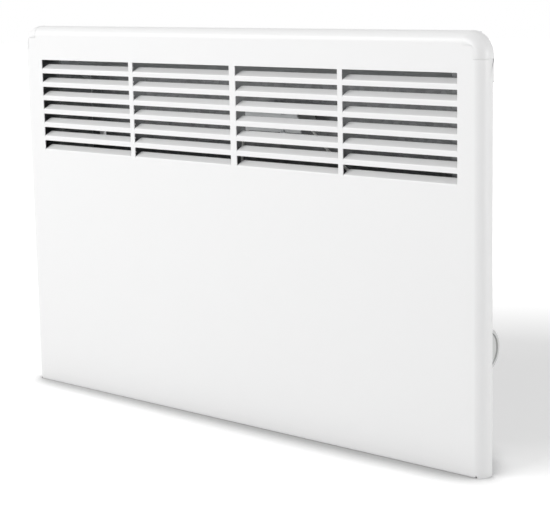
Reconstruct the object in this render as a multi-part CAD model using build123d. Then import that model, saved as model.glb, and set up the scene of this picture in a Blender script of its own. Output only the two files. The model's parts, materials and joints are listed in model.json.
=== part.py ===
"""Wall panel convector heater: a louvred sheet-steel front, a rear casing, a finned element and a wall bracket.

Millimetres, +Z up. X runs along the heater, the front faces -Y and the wall side faces +Y.
The origin is on the floor line, in the middle of the width and of the depth.
A "depth" below is measured from the front face back towards the wall.
"""
from build123d import *
import math
import os

# ---------------------------------------------------------------- overall size
WIDTH = 585.0
HEIGHT = 389.0
DEPTH = 85.0  # front face to the wall
CAP_PROUD = 0.2  # the corner caps stand out from the sheet
FRONT = (CAP_PROUD - DEPTH) / 2  # y of the front face
HALF = WIDTH / 2

# ---------------------------------------------------------------- front panel
PANEL_STEEL = 0.8
PANEL_BEND = 10.0  # outside radius along the sides and the top
FOOT_BEND = 1.5  # outside radius along the bottom edge
PANEL_DEPTH = 14.8
RETURN_WIDTH = 13.0  # inward fold round the back of the panel
RELIEF = 1.8  # square bend relief in each bottom corner
RELIEF_IN = 7.5  # relief centre in from the panel's side

LOUVRE_ROWS = 7
GRILLE_LEFT_MARGIN = 30.4
GRILLE_RIGHT_MARGIN = 26.3
GRILLE_TOP_MARGIN = 35.2
COLUMN_WEBS = (5.7, 7.5, 5.5)  # sheet left between the columns, from the left
LEFT_COLUMNS_SHARE = 0.5154  # of the louvres' whole length in the two left columns, which the photo shows longer
ROW_PITCH = 14.35
LOUVRE_OPENING = 10.3
BLADE_TILT = 64.0  # degrees that a blade is folded in from the panel's plane
BLADE_BEND = 1.6
BLADE_END_GAP = 0.35
BLADE_CORNER = 2.5
LOUVRES_WHOLE = WIDTH - GRILLE_LEFT_MARGIN - GRILLE_RIGHT_MARGIN - sum(COLUMN_WEBS)

# ---------------------------------------------------------------- corner caps
CAP_RADIUS = 21.0  # corner radius seen from the front
CAP_DROP = 23.5  # how far the cap runs down the side
CAP_SIDE_STRIP = 10.5  # width of the cap seen beside the sheet
CAP_TOP_STRIP = 11.7  # height of the cap seen above the sheet
CAP_STEP_RADIUS = 3.0
CAP_WALL = 2.2
CAP_BACK = 1.6  # its back wall
CAP_GAP = 0.15
CAP_LIP = 6.0  # how far the cap reaches in under the sheet
TAIL_LENGTH = 20.0
TAIL_TAPER = 8.0
TAIL_WIDTH = 1.9
TAIL_START = 11.8  # depth at which the tail begins
TAIL_BEHIND = 1.3  # how far the cap and its tail stand behind the panel

# ---------------------------------------------------------------- rear casing
CASING_STEEL = 0.7
CASING_SIDE_INSET = 40.5  # recess beside the casing, where the hand reaches the knob
CASING_TOP_DROP = 23.0
CASING_DEPTH = 62.0  # front face to the casing's back
CASING_BEND = 3.0
CASING_RIM_INSET = 2.0
CASING_FOOT_LIP = 13.0
CASING_HALF = HALF - CASING_SIDE_INSET
CASING_TOP = HEIGHT - CASING_TOP_DROP
WALL_IN = CASING_HALF - CASING_STEEL  # inner face of the casing's side wall
BACK_IN = CASING_DEPTH - CASING_STEEL  # inner face of the casing's back
RIM_BACK = PANEL_DEPTH + CASING_STEEL

INLET_WIDTH = 8.0
INLET_PITCH = 16.5
INLET_END = 54.0  # casing's side to the first inlet slot
INLET_COUNT = int(2 * (CASING_HALF - INLET_END) / INLET_PITCH) + 1
INLET_DEPTHS = (22.0, CASING_DEPTH - 10.0)
RIB_HEIGHTS = (HEIGHT / 3, HEIGHT * 0.53)
RIB_HALF = CASING_HALF - 52.0
RIB_WIDTH = 12.0
RIB_RISE = 1.4

CASING_SCREW_R = 1.95
CASING_SCREW_HEAD_R = 3.8
CASING_SCREW_HEAD = 2.4
CASING_SCREW_LENGTH = 8.0
SCREW_TOP_XS = (-0.35 * WIDTH, -0.12 * WIDTH, 0.12 * WIDTH, 0.35 * WIDTH)
SCREW_SIDE_ZS = (30.0, 0.41 * HEIGHT, 0.75 * HEIGHT)
SCREW_EDGE = 6.5  # screw centre in from the panel's outside

# ---------------------------------------------------------------- hooks and wall bracket
HOOK_X = CASING_HALF - 17.5
HOOK_SLOT_WIDTH = 6.0
HOOK_SLOT_HEIGHT = 18.0
HOOK_SLOT_TOPS = (69.0, HEIGHT - 113.0)
BRACKET_STEEL = 1.5
BRACKET_WEB_OUT = HOOK_X + 2.0
ARM_WIDTH = 21.5
ARM_BOTTOM = 40.0
ARM_TOP_DROP = 4.0
BAR_HEIGHT = 22.0
UPPER_BAR_TOP = HEIGHT - 89.0
BRACKET_STANDOFF = 0.2
HOOK_REACH = 5.7
HOOK_NOSE = 4.4
HOOK_RISE = 6.2
HOOK_TONGUE = 9.8
HOOK_PLAY = 0.2
WALL_SCREW_X = HOOK_X - 44.5
WALL_SCREW_R = 2.75

LATCH_DROP = 9.5  # pivot below the heater's top
LATCH_X = HOOK_X - 10.0
LATCH_HUB_R = 4.0
LATCH_WIDTH = 7.0
LATCH_THICK = 4.0
LATCH_PIN_R = 2.0
LATCH_PIN_HEAD_R = 3.2
LATCH_PIN_HEAD = 1.2
RUN_GAP = 0.05
LATCH_CLEAR = 0.3
EAR_DROP = 18.0

# ---------------------------------------------------------------- element
REFLECTOR_DEPTH = CASING_DEPTH - 6.6
PARTITION_X = CASING_HALF - 46.0
ELEMENT_LOW = 48.0
ELEMENT_RISE = 30.0
SHEATH_R = 4.25
ELEMENT_PLATE_X = -(CASING_HALF - 52.0)
ELEMENT_LEFT = ELEMENT_PLATE_X - 5.0  # centre of the return bend
FIN_PITCH = 7.4
FIN_THICK = 0.5
FIN_END = 17.75  # from the plates at the element's ends to its first and last fin
FIN_COUNT = int((PARTITION_X - ELEMENT_PLATE_X - 2 * FIN_END) / FIN_PITCH) + 1
FIN_DEPTHS = (22.0, REFLECTOR_DEPTH - 1.4)
ELEMENT_DEPTH = sum(FIN_DEPTHS) / 2
FIN_MARGIN = 17.0  # fin beyond the tube centres, up and down
ELEMENT_STEEL = 1.0
ELEMENT_FOOT = 14.0
ELEMENT_PLATE_DEPTH = 20.0
SHEATH_GAP = 0.05
PIN_R = 1.5
PIN_LENGTH = 12.0
BUSH_R = 3.9
BUSH_LENGTH = 7.0

# ---------------------------------------------------------------- inner sheets
INNER_STEEL = 0.6
SHEET_SEAT = 0.1  # paint and play between an inner sheet and the casing
PARTITION_TOP = 130.0
PARTITION_BOTTOM = 14.0
PARTITION_FRONT = 15.0
SHIELD_DEPTH = 16.5
SHIELD_BOTTOM = 24.0
SHIELD_TOP = HEIGHT - 153.0
SHIELD_FLANGE = 13.0
REFLECTOR_GAP = 3.0  # beside the partition's foot
REFLECTOR_HALF = PARTITION_X - ELEMENT_FOOT - REFLECTOR_GAP
REFLECTOR_BOTTOM = 26.0
REFLECTOR_TOP = ELEMENT_LOW + ELEMENT_RISE + 32.0
REFLECTOR_FOOT = 12.0
DEFLECTOR_FRONT = 15.8
DEFLECTOR_RISE_FRONT = 4.2  # below the casing's top, at the front
DEFLECTOR_FALL = 22.6  # from its front edge to its back edge
DEFLECTOR_UPSTAND = 12.0
DEFLECTOR_END = 12.5
RIVET_SPREAD = 0.26 * WIDTH
RIVET_R = 1.6
RIVET_HEAD_R = 3.0
RIVET_HEAD = 1.0
RIVET_GAP = 0.03

# ---------------------------------------------------------------- thermal cut-out
CUTOUT_DEPTH = 35.0
CUTOUT_TOP = HEIGHT - 76.0
CUTOUT_BOTTOM = CUTOUT_TOP - 24.5
CUTOUT_LEFT = -5.0
CUTOUT_RIGHT = 65.5
CUTOUT_SLANT = 6.5
CUTOUT_STEEL = 0.8
CUTOUT_FOOT = 13.0
CUTOUT_X = 43.3
CUTOUT_Z = CUTOUT_TOP - 14.8
CUTOUT_R = 7.5
CUTOUT_BODY = 6.2
CUTOUT_EAR_R = 4.0
CUTOUT_EAR_REACH = 9.8
CUTOUT_FLANGE = 0.5
TAB_LENGTH = 10.0
TAB_HEIGHT = 6.3
TAB_THICK = 0.8

# ---------------------------------------------------------------- thermostat and controls
KNOB_DEPTH = CASING_DEPTH - 22.0
KNOB_Z = 105.1
KNOB_R = 20.0
KNOB_FACE_OUT = 20.0  # knob's outer face beyond the casing's side
KNOB_HEIGHT = 16.0
KNOB_DISH_R = 16.4
KNOB_DISH = 1.5
KNOB_BAR_WIDTH = 8.0
KNOB_HUB_R = 6.0
KNOB_SKIRT_WALL = 2.4
KNOB_CAVITY = 8.0
KNOB_FLUTES = 30
KNOB_FLUTE_R = 1.0
KNOB_BUSH_ROOM = 4.0
KNOB_ROOF = 2.0  # plastic between the shaft's end and the dish
SHAFT_R = 3.0
SHAFT_FLAT = 0.8
SHAFT_IN_BODY = 10.0
SHAFT_GRIP = 0.02
CONTROL_THICK = 3.0
CONTROL_DEPTHS = (17.5, CASING_DEPTH - 1.5)
CONTROL_BOTTOM = 38.0
CONTROL_TOP = 135.0
CONTROL_CORNER = 5.0
CONTROL_SCREW_EDGE = 5.0
CONTROL_SCREW_R = 1.5
CONTROL_SCREW_HEAD_R = 2.8
CONTROL_SCREW_HEAD = 1.8
CONTROL_SCREW_LENGTH = 9.0
THERMOSTAT_LENGTH = 30.0
THERMOSTAT_WIDTH = 32.0
THERMOSTAT_HEIGHT = 35.0
THERMOSTAT_BUSH_R = 5.0
THERMOSTAT_BUSH_OUT = 7.0
THERMOSTAT_SCREW_PITCH = 28.0
THERMOSTAT_SCREW_R = 2.0
THERMOSTAT_SCREW_HEAD_R = 3.4
THERMOSTAT_SCREW_HEAD = 1.9
THERMOSTAT_SCREW_GRIP = 7.0
GLAND_Z = 56.0
GLAND_BORE_R = 4.0
GLAND_BODY_R = 7.0
GLAND_HEAD_R = 9.0
GLAND_HEAD = 8.0
GLAND_TAIL = 14.0
GLAND_NUT_R = 9.5
GLAND_NUT = 4.0
HOLE_GAP = 0.3

BLOCK_XS = (WALL_IN - 38.3, WALL_IN - 4.3)
BLOCK_DEPTH = 16.0
BLOCK_ZS = (17.0, 35.0)
BLOCK_WAYS = 3
EARTH_X = PARTITION_X + 16.0
EARTH_Z = 72.0
EARTH_R = 2.0
EARTH_LENGTH = 11.0
BULB_R = 3.0
BULB_XS = (PARTITION_X - 94.0, PARTITION_X - 24.0)
BULB_Z = 7.0
BULB_DEPTH = 30.0
CAPILLARY_R = 0.8
LEAD_R = 1.3
LEAD_STRAIGHT = 0.01  # degrees; a lead's corner that turns less is none
LEAD_END = 0.25  # between a lead's end and what it is joined to


# ================================================================ helpers
def at(depth):
    """The y of a depth behind the front face."""
    return FRONT + depth


def block(xs, depths, zs):
    """A box between two x values, two depths and two heights."""
    middle = Pos(sum(xs) / 2, at(sum(depths) / 2), sum(zs) / 2)
    return middle * Box(xs[1] - xs[0], depths[1] - depths[0], zs[1] - zs[0])


def rod_x(xs, depth, z, radius):
    """A cylinder along X."""
    return Pos(sum(xs) / 2, at(depth), z) * Rot(0, 90, 0) * Cylinder(radius, xs[1] - xs[0])


def rod_y(x, depths, z, radius):
    """A cylinder along Y."""
    return Pos(x, at(sum(depths) / 2), z) * Rot(90, 0, 0) * Cylinder(radius, depths[1] - depths[0])


def both_sides(part):
    """A part and its mirror image on the other side of the heater."""
    return [part, mirror(part, Plane.YZ)]


def rounded_plan(inset, radius, back):
    """The panel's section seen from above, with its two front edges rounded."""
    x = HALF - inset
    front = FRONT + inset
    corner = Line((-x, at(back)), (-x, front + radius))
    left = RadiusArc((-x, front + radius), (-x + radius, front), -radius)
    face = Line((-x + radius, front), (x - radius, front))
    right = RadiusArc((x - radius, front), (x, front + radius), -radius)
    close = Polyline((x, front + radius), (x, at(back)), (-x, at(back)))
    return make_face([corner, left, face, right, *close.edges()])


def rounded_side(inset, top_radius, foot_radius, back):
    """The panel's section seen from the side, with its top and bottom front edges rounded."""
    front, low, high = FRONT + inset, inset, HEIGHT - inset
    outline = [
        Line((at(back), low), (front + foot_radius, low)),
        RadiusArc((front + foot_radius, low), (front, low + foot_radius), foot_radius),
        Line((front, low + foot_radius), (front, high - top_radius)),
        RadiusArc((front, high - top_radius), (front + top_radius, high), top_radius),
        *Polyline((front + top_radius, high), (at(back), high), (at(back), low)).edges(),
    ]
    return make_face(outline)


def folded_yz(points, bend, thickness, xs):
    """A folded sheet along X. Its points are (depth, height), and its thickness lies left of the path."""
    path = FilletPolyline(*[(at(d), z) for d, z in points], radius=bend)
    section = make_face(offset(path, amount=thickness, side=Side.LEFT).edges())
    return Pos(xs[0], 0, 0) * extrude(Plane.YZ * section, xs[1] - xs[0])


def folded_xy(points, bend, thickness, zs):
    """A folded sheet along Z. Its points are (x, depth), and its thickness lies left of the path."""
    path = FilletPolyline(*[(x, at(d)) for x, d in points], radius=bend)
    section = make_face(offset(path, amount=thickness, side=Side.LEFT).edges())
    return Pos(0, 0, zs[0]) * extrude(section, zs[1] - zs[0])


def turn_between(before, corner, after):
    """The angle by which a route turns at a corner, in degrees."""
    return (Vector(*corner) - Vector(*before)).get_angle(Vector(*after) - Vector(*corner))


def routed(name, points, radius):
    """A lead along straight runs joined by tangent arcs. Points are (x, depth, height), and one in line is left out."""
    route = [(x, at(d), z) for x, d, z in points]
    turns = [turn_between(*three) for three in zip(route, route[1:], route[2:])]
    route = [route[0], *(corner for corner, turn in zip(route[1:], turns) if turn > LEAD_STRAIGHT), route[-1]]
    radii = []
    for before, corner, after in zip(route, route[1:], route[2:]):
        run = min(math.dist(before, corner), math.dist(corner, after))
        half_turn = math.radians(turn_between(before, corner, after) / 2)
        radii.append(0.45 * run / math.tan(half_turn))
    path = FilletPolyline(*route, radius=radii)
    print(f"{name}: length {path.length:.0f} mm, arcs", [round(r, 1) for r in radii])
    return sweep(Plane(path @ 0, z_dir=path % 0) * Circle(radius), path=path)


def write(name, solids):
    """Writes one node: a solid, or a group of separate solids."""
    parts = solids if isinstance(solids, list) else [solids]
    shape = parts[0] if len(parts) == 1 else Compound(children=[s for p in parts for s in p.solids()])
    export_step(shape, f"parts/{name}.step")


# ================================================================ front panel and caps
def louvre_columns():
    """The left end and the length of the openings in each column."""
    longer = LEFT_COLUMNS_SHARE * LOUVRES_WHOLE / 2
    shorter = LOUVRES_WHOLE / 2 - longer
    columns, left = [], -HALF + GRILLE_LEFT_MARGIN
    for length, web in zip((longer, longer, shorter, shorter), (*COLUMN_WEBS, 0)):
        columns.append((left, length))
        left += length + web
    return columns


def louvre_places():
    """The left end, the length and the top edge of each louvre opening."""
    top = HEIGHT - GRILLE_TOP_MARGIN
    return [(left, length, top - row * ROW_PITCH) for left, length in louvre_columns() for row in range(LOUVRE_ROWS)]


def louvre_blade(opening_length):
    """One blade, folded in about its lower edge, for an opening whose left top corner is at x = z = 0."""
    tilt = math.radians(BLADE_TILT)
    inner = BLADE_BEND - PANEL_STEEL
    straight = LOUVRE_OPENING - (inner + PANEL_STEEL / 2) * tilt
    root, overlap = -LOUVRE_OPENING, 0.5

    def on_arc(radius, angle):
        return (FRONT + BLADE_BEND - radius * math.cos(angle), root + radius * math.sin(angle))

    def beyond(point):
        return (point[0] + straight * math.sin(tilt), point[1] + straight * math.cos(tilt))

    outer_end, inner_end = on_arc(BLADE_BEND, tilt), on_arc(inner, tilt)
    outline = [
        Line((FRONT, root - overlap), (FRONT, root)),
        ThreePointArc((FRONT, root), on_arc(BLADE_BEND, tilt / 2), outer_end),
        Polyline(outer_end, beyond(outer_end), beyond(inner_end), inner_end),
        ThreePointArc(inner_end, on_arc(inner, tilt / 2), (FRONT + PANEL_STEEL, root)),
        Polyline((FRONT + PANEL_STEEL, root), (FRONT + PANEL_STEEL, root - overlap), (FRONT, root - overlap)),
    ]
    section = make_face([edge for piece in outline for edge in piece.edges()])
    length = opening_length - 2 * BLADE_END_GAP
    blade = Pos(BLADE_END_GAP, 0, 0) * extrude(Plane.YZ * section, length)
    tip = FRONT + BLADE_BEND + straight * math.sin(tilt) / 2
    corners = [
        edge
        for edge in blade.edges().filter_by(GeomType.LINE)
        if edge.center().Y > tip and abs(edge.length - PANEL_STEEL) < 0.01
    ]
    return fillet(corners, BLADE_CORNER)


def cap_outline(inset):
    """The heater's outline seen from the front, with the cap's corner radius, on the XZ plane."""
    x, top, radius = HALF - inset, HEIGHT - inset, CAP_RADIUS - inset
    outline = [
        Line((0, 0), (x, 0)),
        Line((x, 0), (x, top - radius)),
        RadiusArc((x, top - radius), (x - radius, top), -radius),
        Polyline((x - radius, top), (0, top), (0, 0)),
    ]
    return make_face([edge for piece in outline for edge in piece.edges()])


def cap_blank(inset, back):
    """The rounded corner form that the cap's surfaces follow, at an inset from the outside."""
    front = FRONT + inset
    face = Plane((0, front, 0), x_dir=(1, 0, 0), z_dir=(0, -1, 0)) * cap_outline(inset)
    form = extrude(face, -(at(back) - front))
    limit = HEIGHT / 2
    rim = [
        edge
        for edge in form.edges()
        if abs(edge.center().Y - front) < 0.01 and edge.center().Z > 1 and edge.center().X > 1
        and (edge.center().Z > limit or edge.center().X > limit / 2)
    ]
    return fillet(rim, PANEL_BEND - inset)


def cap_region(grow, lip, depths):
    """The corner that the cap takes from the panel: two strips beside a rounded step."""
    x_in, z_in = HALF - CAP_RADIUS - grow - lip, HEIGHT - CAP_DROP - grow - lip
    whole = block((x_in, HALF + 5), depths, (z_in, HEIGHT + 5))
    x_step, z_step = HALF - CAP_SIDE_STRIP - grow - lip, HEIGHT - CAP_TOP_STRIP - grow - lip
    step = block((x_in - 5, x_step), (depths[0] - 1, depths[1] + 1), (z_in - 5, z_step))
    edge = [e for e in step.edges().filter_by(Axis.Y) if e.center().X > x_in and e.center().Z > z_in]
    return whole - fillet(edge, CAP_STEP_RADIUS)


def tail_form(grow):
    """The cap's tail behind the side flange, or the notch in the flange when it is grown."""
    x_in = HALF - TAIL_WIDTH - grow
    low = HEIGHT - CAP_DROP - TAIL_LENGTH - grow
    back = PANEL_DEPTH + TAIL_BEHIND
    start = TAIL_START - grow
    outline = Polyline(
        (at(start), HEIGHT - CAP_DROP + 4),
        (at(start), low + TAIL_TAPER),
        (at(back), low),
        (at(back), HEIGHT - CAP_DROP + 4),
        close=True,
    )
    return Pos(x_in, 0, 0) * extrude(Plane.YZ * make_face(outline.edges()), TAIL_WIDTH + 2 * grow)


def front_panel():
    """The formed and louvred sheet: face, rounded sides and top, folded bottom and return."""
    outer = extrude(rounded_plan(0, PANEL_BEND, PANEL_DEPTH), HEIGHT)
    side = rounded_side(0, PANEL_BEND, FOOT_BEND, PANEL_DEPTH)
    outer &= Pos(-HALF, 0, 0) * extrude(Plane.YZ * side, WIDTH)
    inner_back = PANEL_DEPTH - PANEL_STEEL
    inner = extrude(rounded_plan(PANEL_STEEL, PANEL_BEND - PANEL_STEEL, inner_back), HEIGHT)
    inner_side = rounded_side(PANEL_STEEL, PANEL_BEND - PANEL_STEEL, FOOT_BEND - PANEL_STEEL, inner_back)
    inner &= Pos(-HALF, 0, 0) * extrude(Plane.YZ * inner_side, WIDTH)
    window = HALF - RETURN_WIDTH
    opening = block((-window, window), (inner_back - 1, PANEL_DEPTH + 1), (RETURN_WIDTH, HEIGHT - RETURN_WIDTH))
    panel = outer - inner - opening

    cuts = [
        block((x, x + length), (-1, PANEL_STEEL + 1), (top - LOUVRE_OPENING, top))
        for x, length, top in louvre_places()
    ]
    corner = cap_region(CAP_GAP, 0, (-1, PANEL_DEPTH + 1))
    behind = block(
        (HALF - CAP_RADIUS - CAP_GAP, HALF + 1),
        (PANEL_STEEL + 0.2, PANEL_DEPTH + 1),
        (HEIGHT - CAP_DROP - CAP_GAP, HEIGHT + 1),
    )
    relief_x = HALF - RELIEF_IN
    relief = block((relief_x - RELIEF / 2, relief_x + RELIEF / 2), (-1, FOOT_BEND + RELIEF), (-1, RELIEF))
    for cut in (corner, behind, relief, tail_form(CAP_GAP)):
        cuts += both_sides(cut)
    cuts += casing_screw_holes()
    blades = {length: louvre_blade(length) for _, length in louvre_columns()}
    return (panel - cuts) + [Pos(x, 0, top) * blades[length] for x, length, top in louvre_places()]


def corner_cap():
    """The right-hand moulded cap: outer shell, lip under the sheet, back wall and tail."""
    back = PANEL_DEPTH + TAIL_BEHIND
    shell = (cap_blank(-CAP_PROUD, back) - cap_blank(CAP_WALL, back + 1)) & cap_region(0, 0, (-1, back))
    lip_out = PANEL_STEEL + CAP_GAP
    under = PANEL_DEPTH - lip_out
    lip = (cap_blank(lip_out, under) - cap_blank(CAP_WALL, under + 1)) & cap_region(0, CAP_LIP, (-1, under))
    corner = block((HALF - CAP_RADIUS, HALF), (back - CAP_BACK, back), (HEIGHT - CAP_DROP, HEIGHT))
    filling = cap_blank(lip_out, back) & corner
    tail = tail_form(0) & cap_blank(0, back)
    return shell + lip + filling + tail


# ================================================================ rear casing
def casing_screw_places():
    """The x and z of each screw that holds the casing on the panel's return."""
    edge = HALF - SCREW_EDGE
    top = [(x, HEIGHT - SCREW_EDGE) for x in SCREW_TOP_XS]
    return top + [(side * edge, z) for z in SCREW_SIDE_ZS for side in (-1, 1)]


def casing_screw_holes():
    """Screw holes through the panel's return and the casing's rim."""
    span = (PANEL_DEPTH - PANEL_STEEL - 1, RIM_BACK + 1)
    return [rod_y(x, span, z, CASING_SCREW_R + RUN_GAP) for x, z in casing_screw_places()]


def casing_screws():
    """Pan-head screws, driven from behind."""
    screws = []
    for x, z in casing_screw_places():
        head = rod_y(x, (RIM_BACK, RIM_BACK + CASING_SCREW_HEAD), z, CASING_SCREW_HEAD_R)
        head = fillet(head.faces().sort_by(Axis.Y)[-1].edges(), CASING_SCREW_HEAD / 3)
        cross = block((x - 2, x + 2), (RIM_BACK + 1.2, RIM_BACK + 3), (z - 0.4, z + 0.4))
        cross += block((x - 0.4, x + 0.4), (RIM_BACK + 1.2, RIM_BACK + 3), (z - 2, z + 2))
        shank = rod_y(x, (RIM_BACK - CASING_SCREW_LENGTH, RIM_BACK), z, CASING_SCREW_R)
        screws.append(head - cross + shank)
    return screws


def casing_box(inset, front, low):
    """The deep part of the casing, with rounded edges, at an inset from its outside."""
    bend = CASING_BEND - inset
    box = block(
        (-CASING_HALF + inset, CASING_HALF - inset), (front, CASING_DEPTH - inset), (low, CASING_TOP - inset)
    )
    back = box.faces().sort_by(Axis.Y)[-1]
    return fillet(back.edges(), bend)


def rivet_places():
    """Each blind rivet: its axis, its head's place and the sheets that it joins."""
    places = []
    for x in (-RIVET_SPREAD, 0.0, RIVET_SPREAD):
        places.append(("y", x, deflector_back() + DEFLECTOR_UPSTAND / 2 + 1))
        places.append(("y", x, REFLECTOR_TOP + REFLECTOR_FOOT / 2))
    places += [("y", CUTOUT_LEFT + x, CUTOUT_TOP - CUTOUT_FOOT + 4) for x in (8, 44)]
    for z in (ELEMENT_LOW - 12, ELEMENT_LOW + ELEMENT_RISE + 12):
        places += [("y", x - ELEMENT_FOOT / 2 - 1, z) for x in (ELEMENT_PLATE_X, PARTITION_X)]
    for z in (SHIELD_BOTTOM + 30, SHIELD_TOP - 30):
        places.append(("x", SHIELD_DEPTH + SHIELD_FLANGE - 5, z))
    return places


def rivet_holes(extra):
    """The holes for the rivets."""
    radius = RIVET_R + extra
    holes = []
    for axis, a, z in rivet_places():
        if axis == "y":
            holes.append(rod_y(a, (BACK_IN - 3, CASING_DEPTH + 1), z, radius))
        else:
            holes.append(rod_x((-CASING_HALF - 1, -WALL_IN + 3), a, z, radius))
    return holes


def rivets():
    """Blind rivets with domed heads outside and flattened tails inside."""
    made = []
    for axis, a, z in rivet_places():
        sheet = ELEMENT_STEEL if abs(z - ELEMENT_LOW - ELEMENT_RISE / 2) < 28 and abs(a) > 190 else INNER_STEEL
        if axis == "y" and CUTOUT_LEFT < a < CUTOUT_RIGHT and z > SHIELD_TOP and z < CUTOUT_TOP:
            sheet = CUTOUT_STEEL
        inner = SHEET_SEAT + sheet
        if axis == "y":
            head = rod_y(a, (CASING_DEPTH, CASING_DEPTH + RIVET_HEAD), z, RIVET_HEAD_R)
            shank = rod_y(a, (BACK_IN - inner - 1.5, CASING_DEPTH), z, RIVET_R)
            tail = rod_y(a, (BACK_IN - inner - 1.5, BACK_IN - inner), z, RIVET_R + 0.7)
        else:
            head = rod_x((-CASING_HALF - RIVET_HEAD, -CASING_HALF), a, z, RIVET_HEAD_R)
            shank = rod_x((-CASING_HALF, -WALL_IN + inner + 1.5), a, z, RIVET_R)
            tail = rod_x((-WALL_IN + inner, -WALL_IN + inner + 1.5), a, z, RIVET_R + 0.7)
        made.append(head + shank + tail)
    return made


def rear_casing():
    """The casing: a rim behind the panel, and a box with inlet slots, hook slots and control openings."""
    rim = block(
        (-HALF + CASING_RIM_INSET, HALF - CASING_RIM_INSET),
        (PANEL_DEPTH, RIM_BACK),
        (CASING_RIM_INSET, HEIGHT - CASING_RIM_INSET),
    )
    for x in (-1, 1):
        edge = x * (HALF - CAP_RADIUS - 1)
        notch = (min(edge, x * HALF), max(edge, x * HALF))
        rim -= block(notch, (PANEL_DEPTH - 1, RIM_BACK + 1), (HEIGHT - CAP_DROP - 1, HEIGHT))
    casing = rim + casing_box(0, PANEL_DEPTH, 0)
    for z in RIB_HEIGHTS:
        casing += fillet(
            block((-RIB_HALF, RIB_HALF), (BACK_IN, CASING_DEPTH + RIB_RISE), (z - RIB_WIDTH / 2, z + RIB_WIDTH / 2))
            .faces().sort_by(Axis.Y)[-1].edges(),
            RIB_RISE * 0.8,
        )
    casing -= casing_box(CASING_STEEL, RIM_BACK, CASING_STEEL)
    casing -= block(
        (-WALL_IN, WALL_IN), (PANEL_DEPTH - 1, RIM_BACK + 1), (CASING_FOOT_LIP, CASING_TOP - CASING_STEEL)
    )
    for z in RIB_HEIGHTS:
        half = RIB_WIDTH / 2 - CASING_STEEL
        inner = RIB_HALF - CASING_STEEL
        casing -= block((-inner, inner), (BACK_IN - 1, BACK_IN + RIB_RISE), (z - half, z + half))

    cuts = casing_screw_holes() + rivet_holes(RIVET_GAP)
    first = -(INLET_COUNT - 1) / 2 * INLET_PITCH
    for i in range(INLET_COUNT):
        x = first + i * INLET_PITCH
        slot = block((x - INLET_WIDTH / 2, x + INLET_WIDTH / 2), INLET_DEPTHS, (-1, CASING_STEEL + 1))
        cuts.append(fillet(slot.edges().filter_by(Axis.Z), INLET_WIDTH / 2 - 0.01))
    for top in HOOK_SLOT_TOPS:
        cuts += both_sides(
            block(
                (HOOK_X - HOOK_SLOT_WIDTH / 2, HOOK_X + HOOK_SLOT_WIDTH / 2),
                (BACK_IN - 1, CASING_DEPTH + 1),
                (top - HOOK_SLOT_HEIGHT, top),
            )
        )
    through = (WALL_IN - 1, CASING_HALF + 1)
    cuts.append(rod_x(through, KNOB_DEPTH, KNOB_Z, THERMOSTAT_BUSH_R + HOLE_GAP))
    cuts.append(rod_x(through, KNOB_DEPTH, GLAND_Z, GLAND_BODY_R + HOLE_GAP))
    cuts += [rod_x(through, d, z, CONTROL_SCREW_R + RUN_GAP) for d, z in control_screw_places()]
    cuts += [rod_x(through, d, KNOB_Z, THERMOSTAT_SCREW_R + RUN_GAP) for d in thermostat_screw_depths()]
    cuts.append(rod_y(EARTH_X, (BACK_IN - 1, CASING_DEPTH + 1), EARTH_Z, EARTH_R + RUN_GAP))
    cuts += [rod_y(x, (BACK_IN - 1, CASING_DEPTH + 1), z, CONTROL_SCREW_R + RUN_GAP) for x, z in block_screw_places()]
    return casing - cuts


# ================================================================ inner sheets
def deflector_front():
    """Height of the deflector's front edge."""
    return CASING_TOP - DEFLECTOR_RISE_FRONT


def deflector_back():
    """Height of the deflector's back edge."""
    return deflector_front() - DEFLECTOR_FALL


def air_deflector():
    """The sloping roof of the air way, with an upstand at the back and a flange at each end."""
    back = BACK_IN - SHEET_SEAT
    half = WALL_IN - SHEET_SEAT
    top, low = deflector_front(), deflector_back()
    points = [
        (DEFLECTOR_FRONT, CASING_TOP - CASING_STEEL - SHEET_SEAT),
        (DEFLECTOR_FRONT, top),
        (back, low),
        (back, low + DEFLECTOR_UPSTAND),
    ]
    bend, lift = 1.5, INNER_STEEL / 2  # the flanges run up into the sheet, so they are one piece
    sheet = folded_yz(points, bend, INNER_STEEL, (-half, half))
    step = bend * (top - low) / (back - DEFLECTOR_FRONT)
    end = Polyline(
        (at(DEFLECTOR_FRONT + bend), top - step + lift),
        (at(back - bend), low + step + lift),
        (at(back - bend), low - DEFLECTOR_END),
        (at(DEFLECTOR_FRONT + bend), top - DEFLECTOR_END),
        close=True,
    )
    flange = Pos(half - INNER_STEEL, 0, 0) * extrude(Plane.YZ * make_face(end.edges()), INNER_STEEL)
    made = (sheet + both_sides(flange)) & casing_box(CASING_STEEL + SHEET_SEAT, PANEL_DEPTH, 0)
    return made - rivet_holes(RIVET_GAP)


def partition():
    """The upright sheet that closes off the controls and carries the element's terminal end."""
    back = BACK_IN - SHEET_SEAT
    points = [(PARTITION_X, PARTITION_FRONT), (PARTITION_X, back), (PARTITION_X - ELEMENT_FOOT, back)]
    sheet = folded_xy(points, 1.5, ELEMENT_STEEL, (PARTITION_BOTTOM, PARTITION_TOP))
    return sheet - sheath_holes((PARTITION_X - 3, PARTITION_X + 3)) - rivet_holes(RIVET_GAP)


def element_plate():
    """The upright sheet that carries the element's bend end."""
    back = BACK_IN - SHEET_SEAT
    points = [
        (ELEMENT_PLATE_X, ELEMENT_PLATE_DEPTH),
        (ELEMENT_PLATE_X, back),
        (ELEMENT_PLATE_X - ELEMENT_FOOT, back),
    ]
    low, high = ELEMENT_LOW - 20, ELEMENT_LOW + ELEMENT_RISE + 20
    sheet = folded_xy(points, 1.5, ELEMENT_STEEL, (low, high))
    return sheet - sheath_holes((ELEMENT_PLATE_X - 3, ELEMENT_PLATE_X + 3)) - rivet_holes(RIVET_GAP)


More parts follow.
